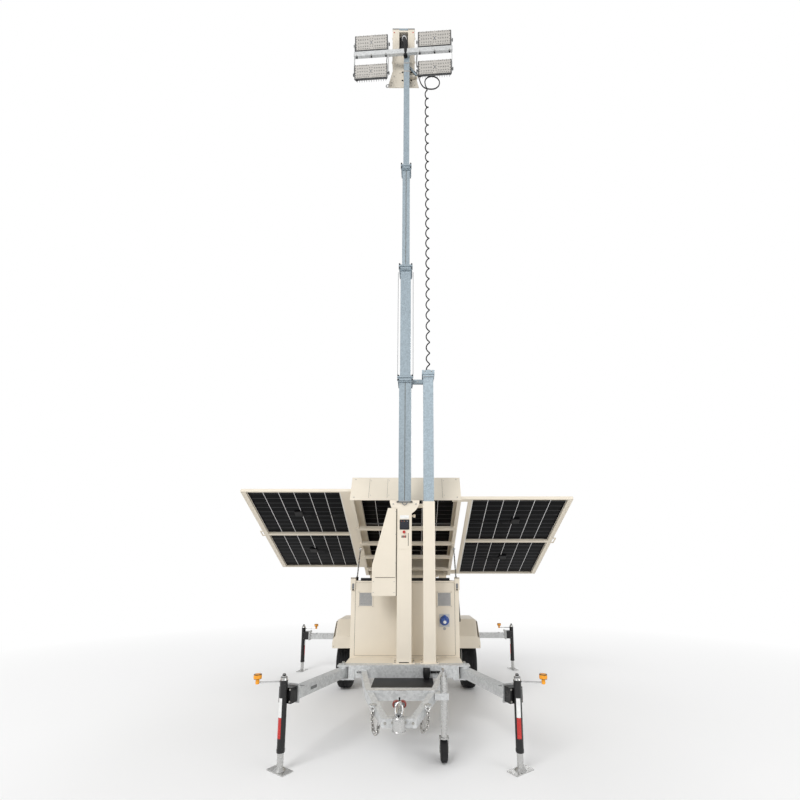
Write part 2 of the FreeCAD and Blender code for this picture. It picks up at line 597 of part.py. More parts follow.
def outriggers():
    """Four outriggers, each drawn pointing to -Y from its root, then turned into place."""
    for word, hand, kind in OUTRIGGERS:
        mirror = "" if hand > 0 else "-"
        half = "arm_side/2"
        face = "(drum_back + run_gap)"
        if kind == "front":
            reach, root = "front_reach", ("pin_x", "pin_y")
            turn = "front_angle"
            inner_end = "0"
        else:
            reach, root = "rear_reach", ("0", "sleeve_right_y" if hand > 0 else "sleeve_left_y")
            turn = "90"
            inner_end = "-rear_arm_in"
        spot = (f"{hand}*{root[0]}", root[1], "0")
        turned_by = f"{mirror}{turn}"
        tube = block((f"-{half}", half), (f"-({reach} - {face})", inner_end), (f"arm_z - {half}", f"arm_z + {half}"))
        flange = block(("-flange_side/2", "flange_side/2"), (f"-({reach} - {face})", f"-({reach} - {face}) + flange_thick"),
                       ("swivel_z - flange_side/2", "swivel_z + flange_side/2"))
        stub = rod("y", "0", f"-({reach} - drum_back + 50)", "swivel_z", "18", "60")
        arm = [tube, flange, stub]
        if kind == "front":
            low = "ear_low + ear_thick + run_gap"
            high = "beam_high - ear_thick - run_gap"
            arm.append(rod("z", "0", "0", low, "46", f"{high} - ({low})"))
            arm = less(join(arm), [rod("z", "0", "0", "ear_low", "pin_radius + run_gap", "200")], "arm_cut")
        else:
            arm = join(arm)
        node(at(arm, *spot, turn=turned_by), "arm_" + word)

        y = f"-{reach}"
        drum = block(("-drum_side/2", "drum_side/2"), (f"{y} + 20", f"{y} + drum_back"),
                     ("swivel_z - drum_side/2", "swivel_z + drum_side/2"))
        jack = [rod("z", "0", y, "jack_low", "jack_radius", "jack_high - jack_low"), drum,
                rod("z", "0", y, "jack_high", "jack_radius - 5", "jack_cap")]
        top = "(jack_high - crank_drop)"
        crank = [rod("x", "0", "0", top, "crank_radius", "crank_reach"),
                 rod("z", "crank_reach", "0", f"{top} - crank_radius - 2", "knob_stem", "knob_tall + 10"),
                 rod("z", "crank_reach", "0", f"{top} + knob_tall - crank_radius - 2", "knob_radius", "knob_tall")]
        ahead = "-crank_turn" if hand > 0 else "180 + crank_turn"
        jack.append(at(join(crank), "0", y, "0", turn=ahead if kind == "front" else "90"))
        hollow = [rod("z", "0", y, "jack_low - 1", "leg_radius + run_gap", "32"),
                  rod("z", "0", y, "jack_low + 30", "jack_bore", "jack_high - jack_low - 60"),
                  rod("y", "0", f"{y} + drum_back - 52", "swivel_z", "18 + run_gap", "60")]
        node(at(less(join(jack), hollow, "jack_cut"), *spot, turn=turned_by), "jack_" + word)

        pad = block(("-pad_long/2", "pad_long/2"), ("-pad_wide/2", "pad_wide/2"), ("0", "pad_thick"))
        cone = doc.addObject("Part::Cone", "cone")
        bind(cone, Radius1="leg_radius + 24", Radius2="leg_radius", Height="22")
        at(cone, "0", "0", "pad_thick")
        foot = at(join([pad, cone]), "0", y, "0", turn=f"{mirror}pad_turn")
        leg = join([foot, rod("z", "0", y, "0", "leg_radius", "leg_top")])
        node(at(leg, *spot, turn=turned_by), "leg_" + word)


def battery_box():
    """Hollow steel box with its floor run forward as a platform, corner posts, and hinge and strut brackets."""
    front, rear, half, high = "box_front", "box_rear", "box_half", "box_high"
    floor = block((f"-{half}", half), ("beam_front + beam_deep", rear), ("box_low", "floor_z"))
    outer = block((f"-{half}", half), (front, rear), ("floor_z", high))
    inner = block((f"-{half} + wall", f"{half} - wall"), (f"{front} + wall", f"{rear} - wall"), ("floor_z", f"{high} - wall"))
    tools = [inner]
    tools.append(block((f"-{half} + door_edge", f"{half} - door_edge"), (f"{rear} - wall - 5", f"{rear} + 5"),
                       ("floor_z + door_edge", f"{high} - door_edge")))
    vent = "vent_side/2"
    for hand in (1, -1):
        tools.append(block(side(hand, f"vent_x - {vent}", f"vent_x + {vent}"), (f"{front} - 5", f"{front} + wall + 5"),
                           (f"vent_z - {vent}", f"vent_z + {vent}")))
    pieces = [floor, less(outer, tools, "box_walls")]
    for hand in (1, -1):
        pieces.append(block(side(hand, f"{half} - latch_wide + 8", f"{half} + 8"), (f"{front} - 12", f"{front} + 40"),
                            ("latch_low", "latch_high")))
        bracket = side(hand, "400", "430")
        pieces.append(block(bracket, ("hinge_y - 24", "box_rear"), (high, "hinge_z")))
        start = "400" if hand > 0 else "-430"
        pieces.append(rod("x", start, "hinge_y", "hinge_z", "22", "30"))
        start = "400" if hand > 0 else "-466"
        pieces.append(rod("x", start, "hinge_y", "hinge_z", "hinge_pin", "66"))
        start = half if hand > 0 else "-strut_x - 26"
        pieces.append(block(side(hand, half, f"{half} + 8"), ("strut_low_y - 40", "strut_low_y + 40"),
                            ("strut_low_z - 50", "strut_low_z + 50")))
        pieces.append(rod("x", start, "strut_low_y", "strut_low_z", "strut_pin", f"strut_x + 26 - {half}"))
        start = half if hand > 0 else "-strut_x + barrel_radius + run_gap"
        pieces.append(rod("x", start, "strut_low_y", "strut_low_z", "16", f"strut_x - barrel_radius - run_gap - {half}"))
    hinge_x, hinge_y = f"{half} - door_edge + 8", f"{rear} + 12"
    for low in ("floor_z + 150", f"{high} - 250"):
        pieces.append(rod("z", hinge_x, hinge_y, low, "9", "40"))
        pieces.append(block((hinge_x, f"{half}"), (rear, hinge_y), (low, f"{low} + 40")))
        pieces.append(rod("z", hinge_x, hinge_y, low, "5", "84"))
    node(join(pieces, "box_set"), "box_shell")

    door_half = f"{half} - door_edge - door_gap"
    leaf = block((f"-({door_half})", door_half), (f"{rear} - wall", rear),
                 ("floor_z + door_edge + door_gap", f"{high} - door_edge - door_gap"))
    door = [leaf]
    bores = []
    for low in ("floor_z + 190 + run_gap", f"{high} - 210 + run_gap"):
        door.append(rod("z", hinge_x, hinge_y, low, "9", "40"))
        door.append(block((f"{door_half} - 30", hinge_x), (f"{rear}", hinge_y), (low, f"{low} + 40")))
        bores.append(rod("z", hinge_x, hinge_y, f"{low} - 5", "5 + run_gap", "50"))
    node(less(join(door, "door_set"), bores, "door_cut"), "rear_door")

    face = (f"{front} - panel_thick", front)
    plate = block(("-panel_half", "panel_half"), face, ("panel_low", "panel_high"))
    holes = [block(side(hand, f"vent_x - {vent}", f"vent_x + {vent}"), (f"{front} - panel_thick - 1", f"{front} + 1"),
                   (f"vent_z - {vent}", f"vent_z + {vent}")) for hand in (1, -1)]
    pieces = [less(plate, holes, "panel_cut")]
    count = int(VALUE["vent_slats"])
    for hand in (1, -1):
        for k in range(1, count + 1):
            z = f"vent_z - {vent} + {k}*vent_side/{count + 1} - slat_tall/2"
            pieces.append(block(side(hand, f"vent_x - {vent}", f"vent_x + {vent}"), face, (z, f"{z} + slat_tall")))
    node(join(pieces, "panel_set"), "front_panel")
    inlet = [rod("y", "vent_x", f"{front} - panel_thick - 34", "vent_z - 229", "44", "34"),
             rod("y", "vent_x", f"{front} - panel_thick - 58", "vent_z - 229", "34", "30")]
    node(join(inlet, "inlet_set"), "power_inlet")
    node(block(("-battery_half", "battery_half"), ("battery_front", "battery_front + battery_long"),
               ("floor_z", "floor_z + battery_tall")), "battery_block")


def fenders():
    """Two folded wheel arches, open underneath, welded to the box side."""
    half = "fender_long/2"
    arches = []
    for hand in (1, -1):
        def arch(inset):
            """Side outline of the arch, set in by a wall all round."""
            run, low = f"{half} - {inset}", f"fender_low - {inset}"
            return [(f"-({run})", low), (run, low), (run, "fender_high - fender_slope"),
                    (f"{run} - fender_slope", f"fender_high - {inset}"),
                    (f"-({run} - fender_slope)", f"fender_high - {inset}"), (f"-({run})", "fender_high - fender_slope")]
        wide = "fender_out - box_half"
        middle = f"{hand}*(box_half + ({wide})/2)"
        outer = at(padded("YZ_Plane", arch("0"), wide, "arch_outer"), middle, "axle_y")
        sign = "1" if hand > 0 else "-1"
        outer = rounded(outer, lambda box: box.ZMin > VALUE["fender_low"] + 50 and box.XLength < 1
                        and abs(abs(box.XMin) - VALUE["fender_out"]) < 1, "fender_round", "arch_round")
        inner = at(padded("YZ_Plane", arch("fender_wall"), wide, "arch_inner"), f"{middle} - {sign}*fender_wall", "axle_y")
        arches.append(less(outer, [inner], "arch"))
    node(apart(arches, "arches"), "fenders")


def mast():
    """Both columns, four telescoping sections with clamp collars, the cable tube, the cord and its loop."""
    y = "mast_y"
    column = square_tube("0", y, "floor_z", "column_high", "column_side", "column_side - 2*tube_wall", "column")
    liner = square_tube("0", y, "column_high - 70", "column_high", "column_side", "section_a + 2*run_gap", "liner")
    front = f"{y} - column_side/2"
    saddle = rod("y", "0", front, "column_high + 8", "saddle_radius", "saddle_thick")
    saddle = less(saddle, [block(("-saddle_radius - 5", "saddle_radius + 5"), (f"{front} - 5", f"{front} + 20"),
                                 ("column_high + 8", "column_high + 200")),
                           block(("-(section_a/2 + 2)", "section_a/2 + 2"), (f"{front} - 5", f"{front} + 20"),
                                 ("column_high - saddle_radius", "column_high + 20")),
                           block(("-saddle_radius - 5", "-column_side/2"), (f"{front} - 5", f"{front} + 20"),
                                 ("column_high - saddle_radius", "cover_high + run_gap"))], "saddle")
    cable = square_tube("cable_x", y, "floor_z", "column_high", "cable_side", "cable_side - 2*tube_wall", "cable_post")
    guide = square_tube("cable_x", y, "column_high - 70", "column_high", "cable_side", "cable_tube_side + 2*run_gap", "guide")
    tie = block(("column_side/2", "cable_x - cable_side/2"), (f"{y} - 20", f"{y} + 20"),
                ("column_high - 60", "column_high - 20"))
    node(join([column, liner, saddle, cable, guide, tie], "columns_set"), "mast_columns")

    cover = [("-column_side/2", "cover_low"), ("-cover_left", "cover_low"), ("-cover_left", "cover_knee")]
    cover += [("-cover_top_left", "cover_high"), ("-column_side/2", "cover_high")]
    body = at(padded("XZ_Plane", cover, "cover_deep", "cover"), "0", y)
    node(body, "winch_cover")
    face = (f"{front} - 5", front)
    controls = [block(("-66", "66"), face, ("1745", "2110")),
                block(("-48", "48"), (f"{front} - 14", front), ("1950", "2052")),
                rod("y", "0", f"{front} - 30", "1922", "15", "30")]
    node(join(controls, "controls_set"), "mast_controls")

    sections = ["section_a", "section_b", "section_c", "section_d"]
    for k, outer in enumerate(sections):
        top = f"collar_first + {k}*mast_step"
        below = "column_high" if k == 0 else f"collar_first + {k - 1}*mast_step"
        low = f"{below} - mast_lap"
        inner = f"{outer} - 2*tube_wall"
        if k + 1 < len(sections):
            pieces = [square_tube("0", y, low, top, outer, inner, "section_tube")]
            seat = f"{sections[k + 1]} + 2*run_gap"
            pieces.append(square_tube("0", y, f"{top} - 50", top, outer, seat, "section_liner"))
            ring = f"{outer} + 2*collar_over"
            pieces.append(square_tube("0", y, f"{top} - collar_tall", top, ring, outer, "section_collar"))
            for z in (f"{top} - collar_tall + 12", f"{top} - 28"):
                pieces.append(block((f"-({outer}/2 + ear_out)", f"{outer}/2 + ear_out"),
                                    (f"{y} - {outer}/2 - collar_over - 8", f"{y} - {outer}/2 - 2"), (z, f"{z} + 16")))
        else:
            pieces = [square_tube("0", y, low, "bar_z + bar_tall/2 + 10", outer, inner, "section_tube")]
        if k == 0:
            pieces.append(block(("section_a/2 + 2", "cable_x - cable_tube_side/2"), (f"{y} - 16", f"{y} + 16"),
                                (f"{top} - 62", f"{top} - 16")))
        node(join(pieces, "section_set"), f"mast_section_{k + 1}")

    tube = square_tube("cable_x", y, "column_high - mast_lap", "cable_tube_high", "cable_tube_side",
                       "cable_tube_side - 2*tube_wall", "cable_tube_body")
    wide = "cable_tube_side/2"
    x_cap, y_cap = square("cable_x", y, f"{wide} + 14", f"{wide} + 14")
    cap = [block(*square("cable_x", y, f"{wide} + 4", f"{wide} + 4"), ("cable_tube_high", "cable_tube_high + 40")),
           block(x_cap, y_cap, ("cable_tube_high + 40", "cable_cap_high"))]
    cap = less(join(cap), [rod("z", "cable_x", y, "cable_tube_high - 1", "cord_radius + 5", "200")], "cap")
    floor = less(block(*square("cable_x", y, wide, wide), ("cord_low - 8", "cord_low")),
                 [rod("z", "cable_x", y, "cord_low - 9", "cord_wire + 3", "12")], "cord_anchor")
    node(join([tube, cap, floor], "cable_set"), "cable_tube")
    node(rod("z", "cable_x", y, "cord_low", "cord_radius", "cord_high - cord_low"), "mast_cord")


def routed(points, radius, name):
    """A round tube along straight runs joined by tangent arcs; prints its radii and checks its volume."""
    spots = [FreeCAD.Vector(*point) for point in points]
    edges = []
    last = spots[0]
    radii = []
    for before, corner, after in zip(spots, spots[1:], spots[2:]):
        back, ahead = (before - corner), (after - corner)
        short = min(back.Length, ahead.Length)
        half_turn = (math.pi - back.getAngle(ahead)) / 2
        cut = 0.45 * short
        start = corner + back.normalize() * cut
        end = corner + ahead.normalize() * cut
        bend = cut / math.tan(half_turn)
        radii.append(round(bend))
        toward = (start + end) * 0.5 - corner
        reach = bend / math.cos(half_turn) - bend
        middle = corner + toward.normalize() * reach
        edges += [Part.LineSegment(last, start).toShape(), Part.Arc(start, middle, end).toShape()]
        last = end
    edges.append(Part.LineSegment(last, spots[-1]).toShape())
    path = Part.Wire(edges)
    circle = Part.Wire(Part.makeCircle(radius, spots[0], spots[1] - spots[0]))
    solid = path.makePipeShell([circle], True, False)
    share = solid.Volume / (math.pi * radius**2 * path.Length)
    print(name, "radii", radii, "volume share", round(share, 4))
    item = doc.addObject("Part::Feature", name)
    item.Shape = solid
    return item


def cord_loop():
    """The free end of the mast cord: one turn behind the mast, then up to the lamp bar."""
    x, y = VALUE["cable_x"], VALUE["mast_y"]
    ring, middle, centre = VALUE["loop_radius"], VALUE["loop_z"], VALUE["loop_x"]
    points = [(x, y, VALUE["cord_high"]), (x - 10, y + 18, VALUE["cord_high"] + 48)]
    for k, angle in enumerate(range(205, -111, -45)):
        across = math.radians(angle)
        points.append((centre + ring * math.cos(across), y + 37 + 2.1 * k, middle + ring * math.sin(across)))
    # Up the side of the bracket to its spacer: sideways, behind the mast line, height over the loop's centre.
    tail = [(225, 53, -72), (182, 53, -4), (163, 53, 82), (131, 52, 155), (88, 50, 198), (47.5, 47, 206)]
    points += [(across, y + behind, middle + rise) for across, behind, rise in tail]
    loop = routed(points, VALUE["cord_wire"], "loop")
    below = block(*square("cable_x", "mast_y", "50", "50"), ("cord_high - 50", "cord_high"))
    node(less(loop, [below], "loop_cut"), "cord_loop")


# Lamps: name, side along the bar, height over the bar, degrees tipped down.
LAMPS = [
    ("lamp_upper_right", 1, "lamp_up", "lamp_tip_up"),
    ("lamp_upper_left", -1, "lamp_up", "lamp_tip_up"),
    ("lamp_lower_right", 1, "-lamp_down", "lamp_tip_low"),
    ("lamp_lower_left", -1, "-lamp_down", "lamp_tip_low"),
]


def head():
    """Head bracket and housing on the top section, the lamp bar with its yokes, and four lamps."""
    x, y = "head_x", "mast_y"
    plate_high = "house_low + 160"
    plate = [("-plate_half", "plate_low"), ("plate_half", "plate_low"), ("plate_top_half", plate_high)]
    plate += [("-plate_top_half", plate_high)]
    middle = f"{y} + plate_back + plate_thick/2"
    bracket = [at(padded("XZ_Plane", plate, "plate_thick", "plate"), x, middle)]
    for z in ("7890", "8020"):
        bracket.append(block(("-section_d/2 - 10", "section_d/2 + 10"), (f"{y} + section_d/2", f"{y} + plate_back"),
                             (z, f"{z} + 60")))
    bracket.append(block((f"{x} + 20", "cable_x - 118"), (f"{y} + plate_back - 24", f"{y} + plate_back"),
                         ("loop_z + 77", "loop_z + 112")))
    back = f"{y} + plate_back + plate_thick"
    house = block((f"{x} - house_half", f"{x} + house_half"), (back, f"{back} + house_deep"), ("house_low", "house_high"))
    channel = block((f"{x} - 58", f"{x} + 58"), (f"{back} - 1", f"{back} + house_deep - 20"),
                    ("house_low + 190", "house_high - 60"))
    bracket.append(less(house, [channel], "house_cut"))
    node(join(bracket, "bracket_set"), "head_bracket")

    bar_y = "-head_ahead"
    bar = [block(("-bar_half", "bar_half"), (f"{bar_y} - bar_deep/2", f"{bar_y} + bar_deep/2"),
                 ("bar_z - bar_tall/2", "bar_z + bar_tall/2"))]
    pivot_y = f"{bar_y} - lamp_ahead"
    for word, hand, rise, tip in LAMPS:
        for end in (1, -1):
            inner = f"{hand}*lamp_x + {end}*(lamp_wide/2 + 4)"
            x_plate = (inner, f"{inner} + yoke_thick") if end > 0 else (f"{inner} - yoke_thick", inner)
            above = not rise.startswith("-")
            z_plate = ("bar_z", f"bar_z + {rise} + yoke_wide/2") if above else (f"bar_z {rise} - yoke_wide/2", "bar_z")
            plate = block(x_plate, (f"{bar_y} - bar_deep/2", f"{pivot_y} + yoke_wide/2"), z_plate)
            bore = rod("x", f"{x_plate[0]} - 5", pivot_y, f"bar_z + {rise}", "lamp_pin + run_gap", "20")
            bar.append(less(plate, [bore], "yoke"))
    turned_bar = at(join(bar, "bar_parts"), x, y, "0", turn="head_turn")
    boss = block(("-section_d/2", "section_d/2"), (f"{y} - head_ahead - 4", f"{y} - section_d/2"),
                 ("bar_z - bar_tall/2 + 6", "bar_z + bar_tall/2 - 6"))
    node(join([turned_bar, boss], "bar_set"), "lamp_bar")
    for word, hand, rise, tip in LAMPS:
        shell = block(("-lamp_wide/2", "lamp_wide/2"), ("-lamp_deep/2", "lamp_deep/2"), ("-lamp_tall/2", "lamp_tall/2"))
        reach = "lamp_wide/2 + 4 + yoke_thick + 4"
        pin = rod("x", f"-({reach})", "0", "0", "lamp_pin", f"2*({reach})")
        knobs = [rod("x", f"{reach} - 4 + run_gap", "0", "0", "16", "12"),
                 rod("x", f"-({reach} - 4 + run_gap) - 12", "0", "0", "16", "12")]
        spot_x = f"{x} + {hand}*lamp_x*cos(head_turn) + (head_ahead + lamp_ahead)*sin(head_turn)"
        spot_y = f"{y} + {hand}*lamp_x*sin(head_turn) - (head_ahead + lamp_ahead)*cos(head_turn)"
        lamp = join([shell, pin] + knobs, "lamp_set")
        node(at(lamp, spot_x, spot_y, f"bar_z + {rise}", turn="head_turn", first=((1, 0, 0), tip)), word)


def on_deck(item):
    """Put a piece drawn flat, with its hinge at the origin and the front to -Y, on the tilted deck."""
    return at(item, "0", "hinge_y", "hinge_z", (1, 0, 0), "-deck_tilt")


def deck():
    """Solar deck: folded frame with guide beams at two levels, its fixed module, and two drawer wings."""
    half, low, high = "deck_half", "deck_low", "deck_high"
    front, back = "-deck_long", "-deck_back"
    frame = [block((f"-{half}", half), (front, f"{front} + sheet"), (low, high)),
             block((f"-{half}", half), (f"{back} - sheet", back), (low, high)),
             block((f"-{half}", half), (front, f"{front} + 60"), (f"{high} - sheet", high))]
    under = "(wing_thick/2 + run_gap)"
    over = "(wing_thick/2 + 2)"
    for hand, level in ((1, "level_low"), (-1, "level_low + level_step")):
        inner = f"{half} - sheet"
        frame.append(block(side(hand, inner, half), (front, back), (low, f"{level} - {under}")))
        frame.append(block(side(hand, inner, half), (front, back), (f"{level} + {over}", high)))
        frame.append(block(side(hand, "deck_half - 45", half), (front, back), (low, f"{low} + sheet")))
        frame.append(block(side(hand, f"{half} - rim_top", half), (front, back), ("level_low + 2*level_step + 31", high)))
        ear = side(hand, "strut_x - 30", "strut_x - 21")
        frame.append(block(ear, ("-strut_up_l - 26", "-strut_up_l + 26"), ("strut_up_h - 16", low)))
        tab = side(hand, "430 + run_gap", "462")
        frame.append(block(tab, (f"{back} - sheet", "0"), (low, "20")))
        frame.append(rod("x", "430 + run_gap" if hand > 0 else "-462", "0", "0", "22", "32 - run_gap"))
    for k in range(4):
        y = f"-(rib_first + {k}*rib_step)"
        top = f"level_low - {under}"
        frame.append(block((f"-{half} + sheet", f"{half} - sheet"), (f"{y} - rib_wide/2", f"{y} + rib_wide/2"),
                           (f"{top} - rib_tall", top)))
    for y in ("-guide_rear", "-guide_front"):
        top = f"level_low + level_step - {under}"
        frame.append(block((f"-{half} + sheet", f"{half} - sheet"), (f"{y} - rib_wide/2", f"{y} + rib_wide/2"),
                           (f"{top} - rib_tall", top)))
    pins = [rod("x", "425" if hand > 0 else "-470", "0", "0", "hinge_pin + run_gap", "45") for hand in (1, -1)]
    node(on_deck(less(join(frame, "deck_set"), pins, "deck_cut")), "deck_frame")
    panel = "level_low + 2*level_step + 31"
    cells = block((f"-({half} - rim_top)", f"{half} - rim_top"), (f"{front} + 8", f"{back} - 8"),
                  (panel, f"{panel} + glass"))
    node(on_deck(apart([cells])), "deck_cells")

    for hand, word, level in ((1, "right", "level_low"), (-1, "left", "level_low + level_step")):
        low, high = f"{level} - wing_thick/2", f"{level} + wing_thick/2"
        ends = ("-wing_front", "-wing_back")
        mid = "-(wing_front + wing_back)/2"
        across = side(hand, "cells_in", "wing_out - wing_edge")
        seat = f"{level} + 8"
        inner = "cells_in - wing_rail" if hand > 0 else "wing_in"
        wing = [block(side(hand, "wing_out - wing_edge", "wing_out"), ends, (low, high)),
                block(side(hand, inner, "cells_in"), ends, (low, high)),
                block(across, (ends[0], f"{ends[0]} + wing_rim"), (low, high)),
                block(across, (f"{ends[1]} - wing_rim", ends[1]), (low, high)),
                block(across, (f"{mid} - wing_mid/2", f"{mid} + wing_mid/2"), (low, seat))]
        if hand > 0:
            drawn = ("wing_in", "cells_in - wing_rail/2")
            wing += [block(drawn, (ends[0], f"{ends[0]} + wing_rail"), (low, high)),
                     block(drawn, (f"{ends[1]} - wing_rail", ends[1]), (low, high))]
        grip = "handle_half"
        for y in (f"{mid} - {grip}", f"{mid} + {grip} - handle_bar"):
            wing.append(block(side(hand, "wing_out", "wing_out + handle_out"), (y, f"{y} + handle_bar"),
                              (f"{level} - 6", f"{level} + 6")))
        wing.append(block(side(hand, "wing_out + handle_out - handle_bar", "wing_out + handle_out"),
                          (f"{mid} - {grip}", f"{mid} + {grip}"), (f"{level} - 6", f"{level} + 6")))
        node(on_deck(join(wing, "wing_set")), "wing_frame_" + word)
        cells = block(across, (f"{ends[0]} + wing_rim", f"{ends[1]} - wing_rim"), (seat, f"{seat} + glass"))
        node(on_deck(apart([cells])), "wing_cells_" + word)


def struts():
    """Two struts that hold the deck up: a barrel hinged on the box side and a rod up to the deck."""
    reach_y = "(hinge_y - strut_up_l*cos(deck_tilt) + strut_up_h*sin(deck_tilt) - strut_low_y)"
    reach_z = "(hinge_z + strut_up_l*sin(deck_tilt) + strut_up_h*cos(deck_tilt) - strut_low_z)"
    lean = f"-atan({reach_y}/{reach_z})"
    long = f"sqrt({reach_y}^2 + {reach_z}^2)"
    for hand, word in ((1, "right"), (-1, "left")):
        spot = (f"{hand}*strut_x", "strut_low_y", "strut_low_z")
        tube = rod("z", "0", "0", "0", "barrel_radius", "barrel_long")
        eye = rod("x", "-barrel_radius + 3", "0", "0", "barrel_radius + 3", "2*barrel_radius - 6")
        holes = [rod("x", "-25", "0", "0", "strut_pin + run_gap", "50"),
                 rod("z", "0", "0", "30", "rod_radius + run_gap", "barrel_long")]
        node(at(less(join([tube, eye]), holes, "barrel_cut"), *spot, (1, 0, 0), lean), "strut_barrel_" + word)
        stem = rod("z", "0", "0", "barrel_long - rod_in", "rod_radius", f"{long} - barrel_long + rod_in - 12")
        eye = rod("x", "-12", "0", long, "18", "24")
        start = "-21 + run_gap" if hand > 0 else "-20"
        pin = rod("x", start, "0", long, "strut_pin", "41 - run_gap")
        node(at(join([stem, eye, pin]), *spot, (1, 0, 0), lean), "strut_rod_" + word)


def export():
    """Check every object and write each sub-part to its own STEP file."""
    doc.recompute()
    for item in doc.Objects:
        if "Invalid" in item.State or "Error" in item.State:
            raise ValueError(f"{item.Name} ({item.Label}) failed: {item.State}")
    os.makedirs(OUT, exist_ok=True)
    for item in NODES:
        shape = item.Shape
        if shape.isNull() or not shape.isValid() or shape.Volume <= 0:
            raise ValueError(f"{item.Label} has no valid shape")
        shape.exportStep(os.path.join(OUT, item.Label + ".step"))
    print(len(NODES), "sub-parts written")


wheels()
axle()
chassis()
drawbar()
jockey()
outriggers()
battery_box()
fenders()
mast()
cord_loop()
head()
deck()
struts()
export()
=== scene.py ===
"""Solar light tower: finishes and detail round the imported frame, with its stage, light and camera.

Everything is in metres in the frame's own axes: +X right seen from the drawbar, +Y rear, +Z up.
"""
import math
from itertools import product

import bpy
import numpy as np
from bpy.props import FloatProperty, FloatVectorProperty, IntProperty, PointerProperty
from bpy.types import Operator, Panel, PropertyGroup
from mathutils import Matrix, Vector


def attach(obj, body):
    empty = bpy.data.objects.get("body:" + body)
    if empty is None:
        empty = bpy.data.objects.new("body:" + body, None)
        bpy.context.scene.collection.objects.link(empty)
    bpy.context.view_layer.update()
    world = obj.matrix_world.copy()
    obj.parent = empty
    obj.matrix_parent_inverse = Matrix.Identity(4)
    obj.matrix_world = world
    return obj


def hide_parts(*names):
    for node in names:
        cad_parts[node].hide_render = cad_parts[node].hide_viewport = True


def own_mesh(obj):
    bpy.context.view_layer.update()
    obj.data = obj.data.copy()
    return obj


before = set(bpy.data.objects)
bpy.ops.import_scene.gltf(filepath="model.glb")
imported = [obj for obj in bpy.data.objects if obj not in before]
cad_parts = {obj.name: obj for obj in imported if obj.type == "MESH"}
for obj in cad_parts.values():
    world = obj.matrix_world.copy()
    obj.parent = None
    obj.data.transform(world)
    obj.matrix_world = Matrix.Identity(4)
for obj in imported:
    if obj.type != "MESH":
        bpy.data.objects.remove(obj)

bl_info = {
    "name": "Solar light tower",
    "version": (1, 0, 0),
    "blender": (4, 2, 0),
    "location": "View3D > Sidebar > Light tower",
    "description": "Dresses the packed solar light tower with its finishes and detail",
    "category": "Object",
}

X, Y, Z = np.eye(3)
HANDS = (("right", 1), ("left", -1))


def paint_colour(name, text, red, green, blue):
    """A colour a user may change, in linear red, green and blue."""
    return FloatVectorProperty(name=name, description=text, subtype="COLOR", size=3, min=0, max=1,
                               default=(red, green, blue))


class TowerColours(PropertyGroup):
    """Colours of the tower's finishes."""

    cream: paint_colour("Cream", "Powder coat of the box, columns, deck and head", 0.775, 0.705, 0.590)
    mast: paint_colour("Mast", "Blue-grey galvanised mast sections", 0.285, 0.345, 0.385)
    galvanised: paint_colour("Galvanised", "Chassis, drawbar and outrigger arms", 0.60, 0.61, 0.61)
    zinc: paint_colour("Zinc", "Plated legs, coupling and bolts", 0.58, 0.58, 0.57)
    black: paint_colour("Black", "Jacks, struts and plastic", 0.005, 0.005, 0.0055)
    cell: paint_colour("Cell", "Solar cells", 0.0012, 0.0014, 0.002)
    lamp: paint_colour("Lamp face", "Floodlight front plates", 0.44, 0.42, 0.39)
    inlet: paint_colour("Inlet", "Blue charging inlet", 0.012, 0.07, 0.33)
    red: paint_colour("Red", "Lenses, knob and bands", 0.50, 0.02, 0.015)
    orange: paint_colour("Orange", "Crank knobs", 0.90, 0.36, 0.015)


class TowerSizes(PropertyGroup):
    """Sizes and counts of the tower's detail."""

    cord_wire: FloatProperty(name="Cord", description="Diameter of the cord's jacket", default=0.014, unit="LENGTH")
    cord_turn: FloatProperty(name="Curl pitch", description="Rise of one curl", default=0.136, unit="LENGTH")
    cord_coil: FloatProperty(name="Curl radius", description="Middle of the curl", default=0.0195, unit="LENGTH")
    tread_blocks: IntProperty(name="Tread blocks", description="Blocks round a tyre", default=72, min=12, max=120)
    cell_columns: IntProperty(name="Cell columns", description="Columns of cells in a wing", default=6, min=1)
    cell_rows: IntProperty(name="Cell rows", description="Rows of half cells in a module", default=20, min=1)
    lamp_fins: IntProperty(name="Lamp fins", description="Cooling fins behind a lamp", default=13, min=2)
    key_light: FloatProperty(name="Key light", description="Power of the large key lamp", default=1080, unit="POWER")
    sky_light: FloatProperty(name="Sky", description="Strength of the even light all round", default=0.62, min=0)


# ---------------------------------------------------------------- shapes: each is (vertices, faces)

def carried(rings, looped=False):
    """Join a stack of like rings: point j of ring i meets point j of ring i + 1; the ends close flat, or meet."""
    rings = np.asarray(rings, float)
    many, round_ = rings.shape[:2]
    grid = np.arange(many * round_).reshape(many, round_)
    ahead = np.roll(grid, -1, axis=0) if looped else grid[1:]
    here = grid if looped else grid[:-1]
    quads = np.stack([here, np.roll(here, -1, 1), np.roll(ahead, -1, 1), ahead], -1).reshape(-1, 4)
    faces = quads.tolist()
    if not looped:
        faces += [grid[0][::-1].tolist(), grid[-1].tolist()]
    verts = rings.reshape(-1, 3)
    # The sum of signed corner volumes tells whether the faces look outwards.
    a, b, c, d = (verts[quads[:, k]] for k in range(4))
    total = (a * np.cross(b, c)).sum() + (a * np.cross(c, d)).sum()
    if not looped:
        for cap in (faces[-2], faces[-1]):
            fan = verts[cap]
            total += (fan[0] * np.cross(fan[1:-1], fan[2:])).sum()
    return verts, (faces if total > 0 else [f[::-1] for f in faces])


def across(axis):
    """An axis made one unit long, and two unit vectors square to it and to each other."""
    axis = np.asarray(axis, float) / np.linalg.norm(axis)
    u = np.cross(X if abs(axis[0]) < 0.9 else Y, axis)
    u /= np.linalg.norm(u)
    return axis, u, np.cross(axis, u)


